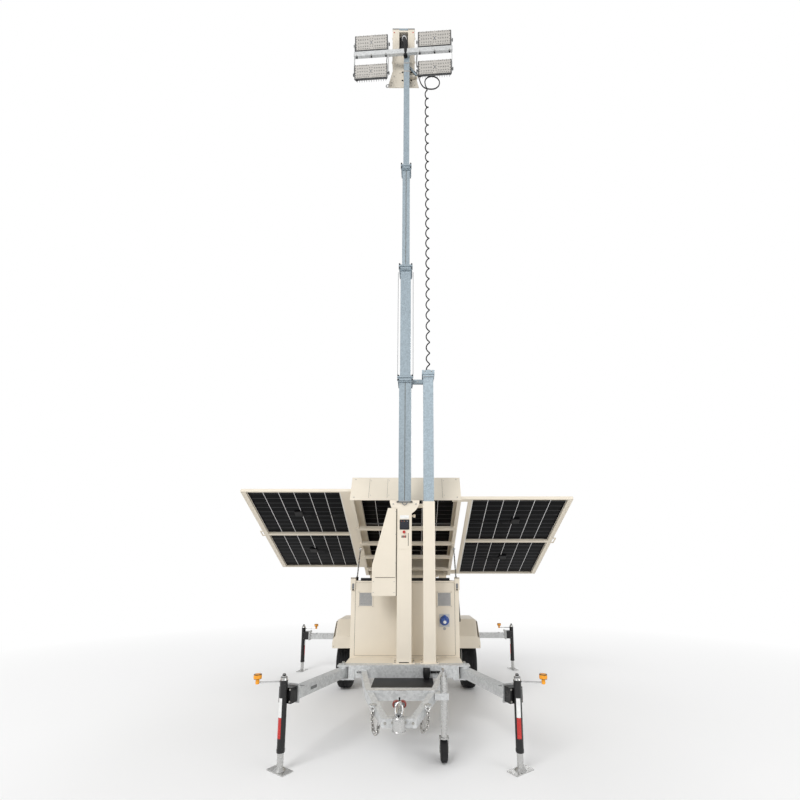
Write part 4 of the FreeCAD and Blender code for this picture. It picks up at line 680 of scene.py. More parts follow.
class TOWER_OT_column_detail(Operator):
    """Display, label plate, knob and slot on the mast column, cover seams, base bolts and the saddle's pulley."""

    bl_idname = "tower.column_detail"
    bl_label = "Column detail"

    def execute(self, context):
        kit, front = Kit(), -0.675
        # Each row: finish, low and high corner in X and Z, how far it stands out in front and behind, edge, corner.
        for finish, low, high, out, edge, corner in (
                ("cream", (-0.066, 1.745), (0.066, 2.110), (0.004, 0.0005), 0.001, 0.004),
                ("dark", (-0.050, 1.948), (0.050, 2.054), (0.010, 0.004), 0.002, 0.005),
                ("screen", (-0.043, 1.956), (0.043, 2.046), (0.012, 0.0098), 0.0008, 0.003),
                ("white", (-0.046, 2.064), (0.046, 2.100), (0.0055, 0.004), 0.0004, 0.003),
                ("seam", (0.037, 1.776), (0.043, 1.913), (0.0048, 0.0038), 0.0002, 0.0025),
                *((kind, (x, 1.862), (x + 0.009, 1.886), (0.0062, 0.004), 0.0006, 0.002)
                  for kind, x in (("dark", -0.030), ("dark", -0.017), ("red", -0.004), ("dark", 0.009)))):
            kit.block(finish, (low[0], front - out[0], low[1]), (high[0], front - out[1], high[1]), edge, corner, "y")
        knob = [(0, 0.016), (0.006, 0.016), (0.008, 0.011), (0.018, 0.011), (0.020, 0.014), (0.026, 0.013),
                (0.028, 0.008)]
        kit.turned("red", knob, (-0.004, front - 0.004, 1.922), -Y, 28)
        for kind, x in (("red", -0.03), ("amber", 0), ("mesh", 0.03)):
            kit.turned(kind, [(0, 0.0035), (0.002, 0.0035), (0.003, 0.002)], (x, front - 0.012, 2.036), -Y, 12)
        piece("mast_display", kit, "chassis", ["mast_controls"])

        # Cover seams and the pin on the column's right side.
        kit, y = Kit(), -0.600
        pin = [(0, 0.010), (0.016, 0.010), (0.018, 0.018), (0.036, 0.018), (0.040, 0.012)]
        kit.turned("cream", pin, (0.075, y, 2.104), X, 24)
        kit.block("cream", (-0.333, -0.6745, 1.264), (-0.086, -0.6705, 1.446), 0.001, 0.006, "y")
        kit.block("seam", (-0.0885, -0.6725, 1.264), (-0.0775, -0.6715, 2.170), 0.0003)
        kit.block("seam", (-0.300, -0.6715, 1.449), (-0.095, -0.6705, 1.4545), 0.0002)
        kit.block("dark", (-0.050, -0.6765, 0.6085), (0.050, -0.6745, 0.6165), 0.0004)
        kit.bolts("bolt", 0.004, -Y, (-0.318, -0.105), -0.6745, (1.30, 1.41))
        kit.bolts("bolt", 0.0035, -Y, -0.093, -0.6700, (1.60, 1.90, 2.14))
        # Foot plates of both columns.
        for x, wide, long, dx, dy, size in ((0, 0.112, 0.090, 0.095, 0.040, 0.009),
                                            (0.258, 0.095, 0.080, 0.080, 0.065, 0.007)):
            kit.add("cream", plate(rounded(wide, long, 0.008) + (x, y), 0.5992, 0.607, 0.001))
            kit.bolts("bolt", size, Z, (x - dx, x + dx), (y - dy, y + dy), 0.607)
        # Shackle and pulley cheek on the front of the column head.
        bow = ((-0.030, -0.680, 2.250), (-0.022, -0.684, 2.222), (0, -0.686, 2.208), (0.022, -0.684, 2.222),
               (0.030, -0.680, 2.250))
        kit.tube("grey", bow, 0.005, 10)
        kit.block("grey", (-0.085, -0.690, 2.236), (0.085, -0.676, 2.250), 0.002)
        kit.bolts("dark", 0.007, -Y, (-0.070, 0.070), -0.690, 2.243)
        kit.bolts("bolt", 0.007, -Y, (-0.120, 0.120), front, 2.222)
        piece("column_fittings", kit, "chassis")
        return {"FINISHED"}


MAST_Y = -0.600
CORD_SPOT = (0.258, MAST_Y)
CORD_LOW, ROUTE_TOP = 2.080, 7.700


class TOWER_OT_mast_detail(Operator):
    """Clamp collars with bolts, middle joints and hoist lines on the mast's sections."""

    bl_idname = "tower.mast_detail"
    bl_label = "Mast detail"

    def execute(self, context):
        first, step, y = 3.679, 1.397, MAST_Y
        for k, side in enumerate((0.134, 0.118, 0.088)):
            kit, top, half = Kit(), first + k * step, side / 2
            kit.bolts("case", 0.0085, -Y, (-half - 0.012, half + 0.012), y - half - 0.023, (top - 0.054, top - 0.004))
            for low in (top - 0.0535, top - 0.0265):
                kit.add("case", collar(half + 0.0165, half + 0.0020, (0, y), low, low + 0.008))
            # Joint down the middle of the folded section, proud by less than the gap it slides in.
            if k != 1:
                low, face = (2.26 if k == 0 else top - step + 0.01), y - half
                kit.block("seam", (-0.0035, face - 0.0002, low), (0.0035, face + 0.001, top - 0.080), 0.0001)
            piece(f"mast_collar_{k + 1}", kit, f"mast_{k + 1}")

        # Two hoist lines beside the second section.
        kit = Kit()
        for x in (0.0875, -0.0875):
            kit.tube("grey", [(x, y - 0.02, z) for z in np.linspace(first + 0.004, first + step - 0.060, 9)], 0.0028, 8)
        hoist = piece("mast_hoist_lines", kit, "mast_1")
        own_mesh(hoist)

        kit, x = Kit(), CORD_SPOT[0]
        for z in (3.672, 3.725):
            kit.add("grey", collar(0.0625, 0.0590, CORD_SPOT, z, z + 0.005))
        gland = [(0, 0.046), (0.010, 0.046), (0.012, 0.040), (0.022, 0.038), (0.024, 0.034), (0.024, 0.030), (0, 0.030)]
        kit.turned("dark", gland, (x, y, 3.750), Z, 32, True)
        kit.bolts("bolt", 0.006, -Y, (x - 0.040, x + 0.040), y - 0.0705, 3.735)
        kit.bolts("bolt", 0.006, -Y, (0.080, 0.140), y - 0.016, 3.640)
        piece("cable_cap_rings", kit, "mast_1")
        return {"FINISHED"}


def length_of(path):
    """Sum of the steps of a path."""
    return float(np.linalg.norm(np.diff(path, axis=0), axis=1).sum())


def corded(name, path, wire, sides, body, node):
    """A cord of the given wire along a path, put in place of the frame node that it hides."""
    item = piece(name, [(tube(path, wire / 2, sides), "cord")], body, [node], flat=80)
    length_of(path)
    return item


class TOWER_OT_cords(Operator):
    """The curly mast cord and the plain loop at its upper end.

    The curl is a helix round the route: centre(t) + radius (cos, sin) of a turn for each pitch of height.
    """

    bl_idname = "tower.cords"
    bl_label = "Cords"

    def execute(self, context):
        s = context.scene.tower_sizes
        x, y = CORD_SPOT
        low, high = CORD_LOW + 0.012, ROUTE_TOP - 0.004
        middle = spline_points("cord_middle", [(x, y, z) for z in np.linspace(low, high, 24)], 24)
        middle = middle[np.argsort(middle[:, 2])]
        z = np.linspace(low, high, int((high - low) / s.cord_turn * 22))
        cx, cy = np.interp(z, middle[:, 2], middle[:, 0]), np.interp(z, middle[:, 2], middle[:, 1])
        # The coil's radius eases in over the lowest 5 cm and out over the highest 10 cm.
        end, start = np.clip((high - z) / 0.10, 0, 1), np.clip((z - low) / 0.05, 0, 1)
        reach = s.cord_coil * np.minimum(end * end * (3 - 2 * end), start)
        turn = 2 * np.pi * (z - low) / s.cord_turn
        path = np.column_stack([cx + reach * np.cos(turn), cy + reach * np.sin(turn), z])
        curl = corded("curly_cord", path, s.cord_wire, 10, "mast_1", "mast_cord")
        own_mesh(curl)

        ring, middle_z, centre = 0.103, 7.848, 0.333
        points = [(x, y, ROUTE_TOP), (x - 0.010, y + 0.018, ROUTE_TOP + 0.048)]
        for k, angle in enumerate(range(205, -111, -45)):
            a = math.radians(angle)
            points.append((centre + ring * math.cos(a), y + 0.037 + 0.0021 * k, middle_z + ring * math.sin(a)))
        tail = [(225, 53, -72), (182, 53, -4), (163, 53, 82), (131, 52, 155), (88, 50, 198), (47.5, 47, 206)]
        points += [(a / 1000, y + b / 1000, middle_z + c / 1000) for a, b, c in tail]
        corded("cord_loop_tube", spline_points("loop_middle", points, 14), s.cord_wire, 12, "mast_4", "cord_loop")
        return {"FINISHED"}


# Where each lamp's hinge is, and its tip in degrees at rest
LAMP_SPOTS = {"upper_right": (0.3617, -0.6734, 8.328, 12), "upper_left": (-0.4572, -0.6305, 8.328, 12),
              "lower_right": (0.3617, -0.6734, 7.870, 8), "lower_left": (-0.4572, -0.6305, 7.870, 8)}
HEAD_TURN = spin("Z", -3)


class TOWER_OT_lamps(Operator):
    """Floodlights: a cast frame, a pale front plate with small lens dots, fins behind and side knobs."""

    bl_idname = "tower.lamps"
    bl_label = "Lamps"

    def execute(self, context):
        kit, half, tall, deep = Kit(), 0.215, 0.095, 0.031
        # The casting is a pan: a thin rim in front, drawn in to a smaller back that carries the fins.
        rim, back = rounded(half, tall, 0.008), tall - 0.026
        levels = [(-deep, inset(rim, 0.003)), (-deep + 0.003, rim), (-deep + 0.009, rim), (0.004, inset(rim, 0.024))]
        kit.add("case", carried([np.insert(flat, 1, y, axis=1) for y, flat in levels]))
        kit.block("lamp", (-half + 0.012, -deep - 0.003, -tall + 0.012), (half - 0.012, -deep + 0.004, tall - 0.006),
                  0.001, 0.006, "y")
        kit.block("case", (-half + 0.026, 0.002, -back), (half - 0.026, 0.010, back), 0.002)
        for x in np.linspace(-half + 0.028, half - 0.028, context.scene.tower_sizes.lamp_fins):
            kit.block("case", (x - 0.0018, 0.004, -back), (x + 0.0018, deep, back), 0.0008)
        kit.block("case", (-0.075, 0.006, -0.045), (0.075, deep + 0.001, 0.045), 0.005, 0.01, "y")
        # Faint lens domes over both halves, dark screws in rows round them and beside the middle.
        front, reach = -deep - 0.003, half + 0.013
        dome = [(-0.001, 0.0095), (0.0012, 0.0085), (0.0030, 0.004)]
        screw = [(-0.001, 0.0055), (0.0016, 0.0050), (0.0024, 0.0025)]
        knob = [(0, 0.013), (0.003, 0.016), (0.009, 0.016), (0.012, 0.012)]
        for hand in (1, -1):
            for i, j in product(range(5), range(3)):
                kit.turned("lens", dome, (hand * (0.048 + 0.030 * i), front, -0.043 + 0.041 * j), -Y, 12)
            spots = [*product(0.030 + 0.0235 * np.arange(8), (-0.070, 0.078)),
                     *product((0.016, 0.196), (-0.046, -0.020, 0.020, 0.046))]
            for x, z in spots:
                kit.turned("case", screw, (hand * x, front, z), -Y, 6)
            kit.add("case", rod((hand * (half - 0.01), 0, 0), (hand * reach, 0, 0), 0.0078, 16))
            kit.turned("dark", knob, (hand * (reach - 0.0037), 0, 0), hand * X, 14)
        for x, z in product(np.linspace(-half + 0.016, half - 0.016, 9), (-tall + 0.004, tall - 0.004)):
            kit.turned("grey", [(0, 0.004), (0.003, 0.003)], (x, -deep, z), -Y, 6)
        kit.block("grey", (-0.009, front - 0.0012, -0.014), (0.009, front + 0.001, 0.016), 0.0005, 0.004, "y")
        for word, (x, y, z, tip) in LAMP_SPOTS.items():
            piece(f"floodlight_{word}", kit.moved(HEAD_TURN @ spin("X", tip), (x, y, z)), f"lamp_{word}",
                  [f"lamp_{word}"])
        return {"FINISHED"}


class TOWER_OT_head_detail(Operator):
    """Head housing: dark channel, roof cap and conduit, with the bracket's bolts and the lamp bar's fittings."""

    bl_idname = "tower.head_detail"
    bl_label = "Head detail"

    def execute(self, context):
        kit, x, back, face = Kit(), -0.045, -0.530, -0.538
        kit.block("grey", (x - 0.150, back - 0.003, 8.758), (x + 0.150, back + 0.094, 8.775), 0.003)
        kit.block("mast", (x - 0.060, back - 0.004, 8.742), (x + 0.060, back + 0.030, 8.772), 0.004)
        for low in (x - 0.0575, x + 0.0515):
            kit.block("dark", (low, back + 0.001, 8.396), (low + 0.006, back + 0.060, 8.714), 0.001)
        kit.block("case", (x - 0.0515, back + 0.055, 8.397), (x + 0.0515, back + 0.070, 8.713), 0.001)
        socket = [(0, 0.020), (0.028, 0.020), (0.030, 0.026), (0.046, 0.026), (0.050, 0.021)]
        kit.turned("dark", socket, (x + 0.005, back + 0.050, 8.610), (0, -1, -0.3), 24)
        union = [(0, 0.024), (0.020, 0.024), (0.022, 0.030), (0.040, 0.030), (0.044, 0.024)]
        kit.turned("chrome", union, (x + 0.010, -0.647, 8.395), (0.1, 0.35, 1), 24)
        # Ribbed conduit from the bracket up into the channel.
        bend = ((0.03, -0.655, 8.110), (0.032, -0.668, 8.190), (0.028, -0.672, 8.290), (0.014, -0.655, 8.380),
                (0.006, -0.620, 8.470), (0.004, -0.575, 8.560), (0.004, -0.530, 8.600))
        line = spline_points("head_conduit", np.add(bend, (x, 0, 0)), 8)
        kit.tube("dark", line, 0.0235, 18)
        last = len(line) - 1
        for k in np.linspace(0, last, 26).astype(int)[1:-1]:
            ahead = line[min(k + 1, last)] - line[k - 1]
            kit.turned("case", [(-0.002, 0.0235), (0, 0.0258), (0.002, 0.0235)], line[k], ahead, 18)
        for dx, z in ((-0.105, 8.09), (-0.120, 7.97), (-0.150, 7.87), (0.105, 8.09), (0.095, 7.86), (0.150, 7.83),
                      (-0.045, 8.02), (0.045, 8.14), (-0.16, 7.83), (-0.085, 8.16), (0.085, 8.19)):
            kit.bolts("bolt", 0.006, -Y, x + dx, face, z)
        for z in (7.905, 8.035):
            kit.bolts("dark", 0.009, -Y, (0.058, -0.058), face, z)
            kit.add("zinc", plate(rounded(0.040, 0.040, 0.004) + (0, MAST_Y), z - 0.010, z + 0.010, 0.001))
        for hand in (1, -1):
            for z in (8.28, 8.68):
                stud = [(0, 0.011), (0.006, 0.011), (0.010, 0.006)]
                kit.turned("cream", stud, (x + hand * 0.148, back + 0.045, z), hand * X, 16)
            kit.block("red", (x + hand * 0.120, back - 0.002, 8.700), (x + hand * 0.134, back, 8.716), 0.0005)
        # Diagonal tie from the bar's middle down to the side arm.
        wide, slim = np.array([0.010, 0, 0.007]), np.array([0, 0.0035, 0])
        kit.add("mast", carried([[end - wide - slim, end + wide - slim, end + wide + slim, end - wide + slim]
                                 for end in np.array([(0.128, -0.566, 7.945), (0, -0.566, 8.128)])]))
        # The bracket's eye at its lower left corner, and the ties that hold the cord on its side arm.
        eye = around((x - 0.204, face + 0.004, 7.822), 0.022 * X, 0.022 * Z, full_turn(24))
        kit.tube("zinc", eye, 0.006, 10, True)
        for low in (0.105, 0.160):
            kit.block("dark", (low, -0.564, 7.922), (low + 0.006, -0.535, 7.963), 0.001)
        piece("head_fittings", kit, "mast_4")

        # Bolts, clamps and leads along the lamp bar, turned with it.
        kit = Kit()
        for hand in (1, -1):
            for dx in (0.22, 0.41, 0.60):
                kit.bolts("bolt", 0.007, -Y, hand * dx, -0.077, 8.140)
                kit.turned("dark", [(0, 0.010), (0.008, 0.010), (0.012, 0.006)], (hand * dx, -0.062, 8.133), -Z, 12)
        kit.pair("grey", (0.634, -0.076, 8.134), (0.638, -0.048, 8.202), 0.001)
        for lead in (((-0.20, -0.045, 8.20), (-0.215, -0.03, 8.10), (-0.205, -0.03, 8.00), (-0.22, -0.05, 7.93),
                      (-0.24, -0.08, 7.90)),
                     ((0.18, -0.045, 8.13), (0.172, -0.03, 8.05), (0.178, -0.03, 7.97), (0.19, -0.05, 7.92),
                      (0.19, -0.08, 7.90))):
            kit.tube("dark", lead, 0.005, 8)
        piece("lamp_bar_fittings", kit.moved(HEAD_TURN, (x, MAST_Y, 0)), "mast_4")
        return {"FINISHED"}


class TOWER_OT_deck_detail(Operator):
    """Deck seams, screws, junction boxes and leads, and the wings' white strips."""

    bl_idname = "tower.deck_detail"
    bl_label = "Deck detail"

    def execute(self, context):
        # Everything is drawn with the deck flat and its hinge at the origin, then put onto the raised deck.
        kit, front = Kit(), -1.915
        for x in (-0.43, -0.215, 0.215, 0.43):
            kit.block("seam", (x - 0.001, front - 0.0012, 0.02), (x + 0.001, front + 0.001, 0.31), 0)
            kit.bolts("bolt", 0.004, -Y, x + 0.02, front, (0.06, 0.28))
        kit.bolts("bolt", 0.006, -Y, (0.60, -0.60), front, (0.03, 0.30))
        kit.pair("cream", (0.606, front + 0.006, 0.3295), (0.640, -0.045, 0.3325), 0.001)
        for hand in (1, -1):
            kit.bolts("bolt", 0.006, hand * X, hand * 0.645, (-0.25, -0.75, -1.25, -1.75), 0.255)
        # Junction boxes, leads and cross bars under the fixed module.
        for x in (-0.30, 0.30):
            kit.block("dark", (x - 0.055, -0.62, 0.262), (x + 0.055, -0.52, 0.2888), 0.004)
            lead = ((x, -0.53, 0.270), (x + 0.05, -0.46, 0.262), (x + 0.10, -0.40, 0.268), (x + 0.16, -0.36, 0.27))
            kit.tube("dark", lead, 0.003, 8)
        for y in (-0.28, -1.0, -1.6):
            kit.block("grey", (-0.60, y - 0.012, 0.2815), (0.60, y + 0.012, 0.2888), 0.001)
        piece("deck_fittings", kit.moved(LEVEL, HINGE), "deck")

        for (word, hand), level in zip(HANDS, (0.031, 0.145)):
            kit, side = Kit(), np.array([hand, 1, 1])
            low, high = level + 0.0195, level + 0.0212
            for start, end in (((0.80, -1.889, low), (1.94, -1.883, high)), ((0.80, -0.063, low), (1.94, -0.057, high)),
                               ((1.894, -1.90, low), (1.900, -0.046, high)),
                               ((0.775, -1.885, level - 0.0202), (0.785, -0.061, level - 0.0180))):
                kit.block("white", start * side, end * side, 0.0005)
            kit.bolts("bolt", 0.005, hand * X, hand * 1.950, (-1.80, -1.40, -1.073, -0.873, -0.55, -0.15), level)
            for y in (-1.43, -0.52):
                kit.block("dark", (1.32 * hand, y - 0.05, level - 0.012), (1.42 * hand, y + 0.05, level + 0.007), 0.004)
                lead = ((1.33, y, level - 0.006), (1.20, y + 0.03, level - 0.012), (1.02, y + 0.02, level - 0.010),
                        (0.80, y, level - 0.006))
                kit.tube("dark", lead * side, 0.0032, 8)
            piece(f"wing_fittings_{word}", kit.moved(LEVEL, HINGE), f"wing_{word}")
        return {"FINISHED"}


CRANK_REACH, CRANK_TURN = 0.198, 31
# Where each arm starts, its turn in degrees and the distance out to its jack
OUTRIGGER = {"front_right": ((0.600, -0.690), 20.4, 0.906), "front_left": ((-0.600, -0.690), -20.4, 0.906),
             "rear_right": ((0, 1.829), 90, 1.666), "rear_left": ((0, 1.719), -90, 1.666)}


class TOWER_OT_outriggers(Operator):
    """Outrigger flange bolts, stop plates, jack bands, gear caps and crank knobs."""

    bl_idname = "tower.outriggers"
    bl_label = "Outriggers"

    def execute(self, context):
        for word, (root, turn, reach) in OUTRIGGER.items():
            ahead, hand = "front" in word, 1 if turn > 0 else -1
            arm, y, mid = Kit(), -reach, 0.540
            arm.bolts("bolt", 0.009, Y, (-0.055, 0.055), y + 0.112, (mid - 0.055, mid + 0.055))
            arm.add("grey", plate(rounded(0.026, 0.026, 0.003) + (0, mid), y + 0.1122, y + 0.115, 0.0008, "y"))
            arm.block("grey", (-0.0435, y + 0.20, 0.5695), (0.0435, y + 0.215, 0.5715), 0.0006)
            if ahead:
                arm.block("grey", (0.0425, y + 0.30, 0.515), (0.0440, y + 0.39, 0.540), 0.0005, 0.004, "x")
            # Rings and cap on the jack's tube, reflecting bands and flange bolts.
            jack = Kit()
            jack.turned("black", [(0, 0.0302), (0.004, 0.0318), (0.024, 0.0318), (0.028, 0.0302)], (0, y, 0.134), Z, 32)
            jack.turned("black", [(0, 0.0303), (0.001, 0.0312), (0.007, 0.0312), (0.008, 0.0303)], (0, y, 0.652), Z, 32)
            jack.turned("dark", [(0, 0.0140), (0.014, 0.0138), (0.020, 0.012), (0.022, 0.006)], (0, y, 0.686), Z, 24)
            facing = (-100 if hand > 0 else -118) - turn if ahead else 90
            jack.add("white", tape((0, y), 0.030, 0.389, 0.530, facing, 62))
            jack.add("red", tape((0, y), 0.030, 0.237, 0.388, facing, 62))
            jack.bolts("bolt", 0.007, -Y, (-0.045, 0.045), y + 0.0205, (mid - 0.045, mid + 0.045))
            # Crank: a bright rod out to a knob whose head flares over a slim stem, and the gear cap over the tube.
            angle = math.radians((-CRANK_TURN if hand > 0 else 180 + CRANK_TURN) if ahead else 90)
            out, start = np.array([math.cos(angle), math.sin(angle), 0]), np.array([0, y, 0.648])
            tip = start + out * CRANK_REACH
            knob = [(-0.010, 0.0136), (0.004, 0.0150), (0.022, 0.0136), (0.028, 0.0180), (0.031, 0.0296),
                    (0.044, 0.0310), (0.058, 0.0300), (0.0645, 0.0220)]
            gear = [(0, 0.0308), (0.003, 0.0306), (0.010, 0.0262), (0.022, 0.0258), (0.026, 0.019), (0.034, 0.013),
                    (0.046, 0.013), (0.049, 0.009)]
            jack.turned("orange", knob, tip, Z, 24)
            jack.add("chrome", rod(start + out * 0.031, tip - out * 0.012, 0.0068, 14))
            jack.turned("zinc", gear, (0, y, 0.6585), Z, 28)
            place = spin("Z", turn), (*root, 0)
            piece(f"arm_fittings_{word}", arm.moved(*place), f"arm_{word}")
            piece(f"jack_fittings_{word}", jack.moved(*place), f"jack_{word}")
        return {"FINISHED"}


class TOWER_OT_chassis_detail(Operator):
    """Beam markers, plug boot, red lock, coupling lever, chain links, rear lamp lenses and fender bolts."""

    bl_idname = "tower.chassis_detail"
    bl_label = "Chassis detail"

    def execute(self, context):
        kit, front, z = Kit(), -0.732, 0.535
        for x, kind in ((-0.415, "grey"), (0.352, "dark")):
            kit.add("zinc", plate(rounded(0.046, 0.016, 0.0159, 6) + (x, z), front - 0.004, front + 0.001, 0.001, "y"))
            kit.add(kind, plate(rounded(0.034, 0.009, 0.0088, 6) + (x, z), front - 0.0055, front - 0.003, 0.0006, "y"))
            for dx in (-0.040, 0.040):
                kit.turned("dark", [(0, 0.006), (0.003, 0.006), (0.005, 0.003)], (x + dx, front - 0.004, z), -Y, 12)
        eyelet = [(0, 0.018), (0.004, 0.018), (0.005, 0.013), (0.002, 0.012)]
        kit.turned("dipped", eyelet, (0.455, front, 0.533), -Y, 28)
        # Plug boot on its bracket: a turned profile, wide at the top and tapering down to the cable.
        boot = [(0, 0.010), (0.018, 0.020), (0.050, 0.033), (0.090, 0.036), (0.112, 0.034), (0.124, 0.026),
                (0.126, 0.006)]
        kit.turned("dark", boot, (0.223, front - 0.040, 0.450), Z, 28)
        kit.block("dark", (0.190, front - 0.040, 0.512), (0.256, front + 0.001, 0.578), 0.004)
        # The white patch near the top of the bracket's front is a painted highlight.
        kit.block("white", (0.204, front - 0.0415, 0.562), (0.232, front - 0.039, 0.574), 0.001)
        for x, size in ((0.280, 0.017), (0.306, 0.008)):
            kit.block("dark", (x - size, front - 0.022, 0.526), (x + size, front + 0.001, 0.546), 0.003)
        lead = ((0.223, front - 0.040, 0.455), (0.222, front - 0.030, 0.425), (0.215, front + 0.01, 0.385),
                (0.20, front + 0.06, 0.385), (0.17, front + 0.09, 0.392))
        kit.tube("dark", spline_points("boot_lead", lead, 8), 0.006, 10)
        # Red lock: two thick discs side by side with a hasp, behind the coupling.
        for x in (-0.030, 0.018):
            disc = [(0, 0.026), (0.003, 0.030), (0.022, 0.030), (0.025, 0.026)]
            kit.turned("lock", disc, (x, -1.585, 0.497), -Y, 28)
            kit.turned("grey", [(0, 0.018), (0.003, 0.017), (0.0035, 0.008)], (x, -1.610, 0.497), -Y, 24)
        kit.block("dark", (-0.012, -1.600, 0.500), (0.000, -1.590, 0.548), 0.003)
        kit.block("lock", (-0.055, -1.583, 0.470), (0.043, -1.575, 0.520), 0.003, 0.01, "y")
        # Coupling: domed top and rim ring on the cup, its latch loop standing in front, and the handle behind.
        y, ring = -1.852, full_turn(40)
        dome = [(0, 0.0466), (0.006, 0.0480), (0.016, 0.0455), (0.028, 0.0385), (0.038, 0.026), (0.042, 0.006)]
        kit.turned("zinc", dome, (0, y, 0.462), Z, 40)
        kit.tube("zinc", around((0, y, 0.399), 0.0465 * X, 0.0465 * Y, ring), 0.0035, 10, True)
        loop = around((0, -1.8646, 0.540), 0.026 * X, (0, 0.0154, 0.044), ring)
        kit.tube("chrome", loop, 0.0065, 12, True)
        kit.block("grey", (-0.020, -1.884, 0.486), (0.020, -1.872, 0.520), 0.003, 0.008, "y")
        kit.turned("dark", [(0, 0.0085), (0.003, 0.0080)], (0, -1.884, 0.503), -Y, 16)
        grip = ((0, -1.862, 0.500), (0, -1.820, 0.520), (0, -1.740, 0.532), (0, -1.660, 0.528))
        kit.tube("zinc", spline_points("handle_line", grip, 8), 0.012, 16)
        # A bright steel strip along the top edge of the cross-bar is a painted highlight.
        kit.block("chrome", (-0.243, -1.4325, 0.5510), (0.243, -1.4225, 0.5545), 0.001)
        kit.bolts("bolt", 0.008, Z, (0.020, -0.020), -1.74, 0.484)
        kit.bolts("bolt", 0.008, Z, (0.020, -0.020), -1.60, 0.505)
        kit.bolts("bolt", 0.016, Z, (0.600, -0.600), -0.690, 0.613)
        kit.bolts("bolt", 0.009, -Y, (0.100, -0.100), -1.8000, 0.428)
        kit.bolts("bolt", 0.005, -Y, (0.915, -0.915), 0.347, 0.60)
        kit.bolts("bolt", 0.005, Y, (0.915, -0.915), 1.253, 0.60)
        for hand in (1, -1):
            kit.bolts("bolt", 0.009, hand * X, hand * 0.046, y, 0.450)
        # Lid seam and hinges of the drawbar box.
        kit.block("grey", (-0.278, -1.104, 0.4797), (0.278, -1.1015, 0.4812), 0.0004)
        kit.pair("grey", (0.174, -1.1165, 0.452), (0.206, -1.1115, 0.482), 0.002)
        piece("chassis_fittings", kit, "chassis")

        # Safety chains: oval links set along a smooth line, every second one turned a quarter.
        hang = (((0.211, 0.478), (0.214, 0.430), (0.207, 0.360), (0.190, 0.322), (0.168, 0.318), (0.158, 0.350),
                 (0.160, 0.392)),
                ((-0.203, 0.478), (-0.208, 0.420), (-0.203, 0.350), (-0.192, 0.308), (-0.172, 0.304), (-0.160, 0.340),
                 (-0.158, 0.385)))
        t, y, pitch, kit = full_turn(18), -1.650, 0.0290, Kit()
        oval = np.column_stack([0.0115 * np.cos(t), 0 * t, 0.0125 * np.sin(t) + 0.0075 * np.sign(np.sin(t))])
        for line in hang:
            flat = spline_points("chain_line", [(x, y, z) for x, z in line], 12)
            run = np.concatenate([[0], np.cumsum(np.linalg.norm(np.diff(flat, axis=0), axis=1))])
            for k, at in enumerate(np.arange(0.014, run[-1], pitch)):
                spot, later = (np.array([np.interp(d, run, flat[:, i]) for i in range(3)]) for d in (at, at + 0.004))
                lean = math.degrees(math.atan2(later[0] - spot[0], later[2] - spot[2]))
                link = placed(tube(oval, 0.0050, 8, True), spin("Y", lean) @ spin("Z", 38 + 90 * (k % 2)), spot)
                kit.add("link", link)
            x, y = flat[0][:2]
            kit.tube("zinc", around((x, y, 0.488), 0.016 * X, (0, 0.008, 0.024), t), 0.0055, 10, True)
            kit.add("bolt", rod((x - 0.026, y, 0.510), (x + 0.026, y, 0.510), 0.0065, 14))
        piece("chain_links", kit, "chassis", ["safety_chains"])

        # Rear lamps: a carrier with three lenses on either side, and the plain plate between them.
        kit, low, third = Kit(), 0.425, 0.155 / 3
        kit.pair("dark", (low, 1.898, 0.495), (0.580, 1.914, 0.575), 0.002, 0.006, "y")
        for k, kind in enumerate(("red", "amber", "red")):
            a, b = low + third * k + 0.003, low + third * (k + 1) - 0.003
            kit.pair(kind, (a, 1.911, 0.500), (b, 1.931, 0.570), 0.004, 0.006, "y")
        kit.bolts("bolt", 0.0028, Y, (0.428, 0.577, -0.428, -0.577), 1.914, 0.535)
        kit.block("white", (-0.12, 1.898, 0.500), (0.12, 1.901, 0.560), 0.0008, 0.006, "y")
        piece("rear_light_units", kit, "chassis", ["rear_lamps"])
        return {"FINISHED"}


# The photo's camera: its place, its upward tilt from straight down in degrees, and its lens in millimetres
CAMERA_SPOT, CAMERA_TILT = (0.120, -4.832, 1.463), 98.89
CAMERA_VIEW = {"lens": 17.92, "sensor_width": 36, "shift_x": -0.0199, "shift_y": 0.1426, "clip_end": 400}
# Name, place, height aimed at, side and share of the key power of each large lamp
STUDIO_LAMPS = (("key", (-6.5, -11, 10.5), 3.6, 7, 1), ("fill", (9.5, -8, 5.0), 3.6, 6, 0.28),
                ("rim", (2, 12, 9), 4.0, 6, 0.35))
FLOOR_FADE = (2.6, 9.0)


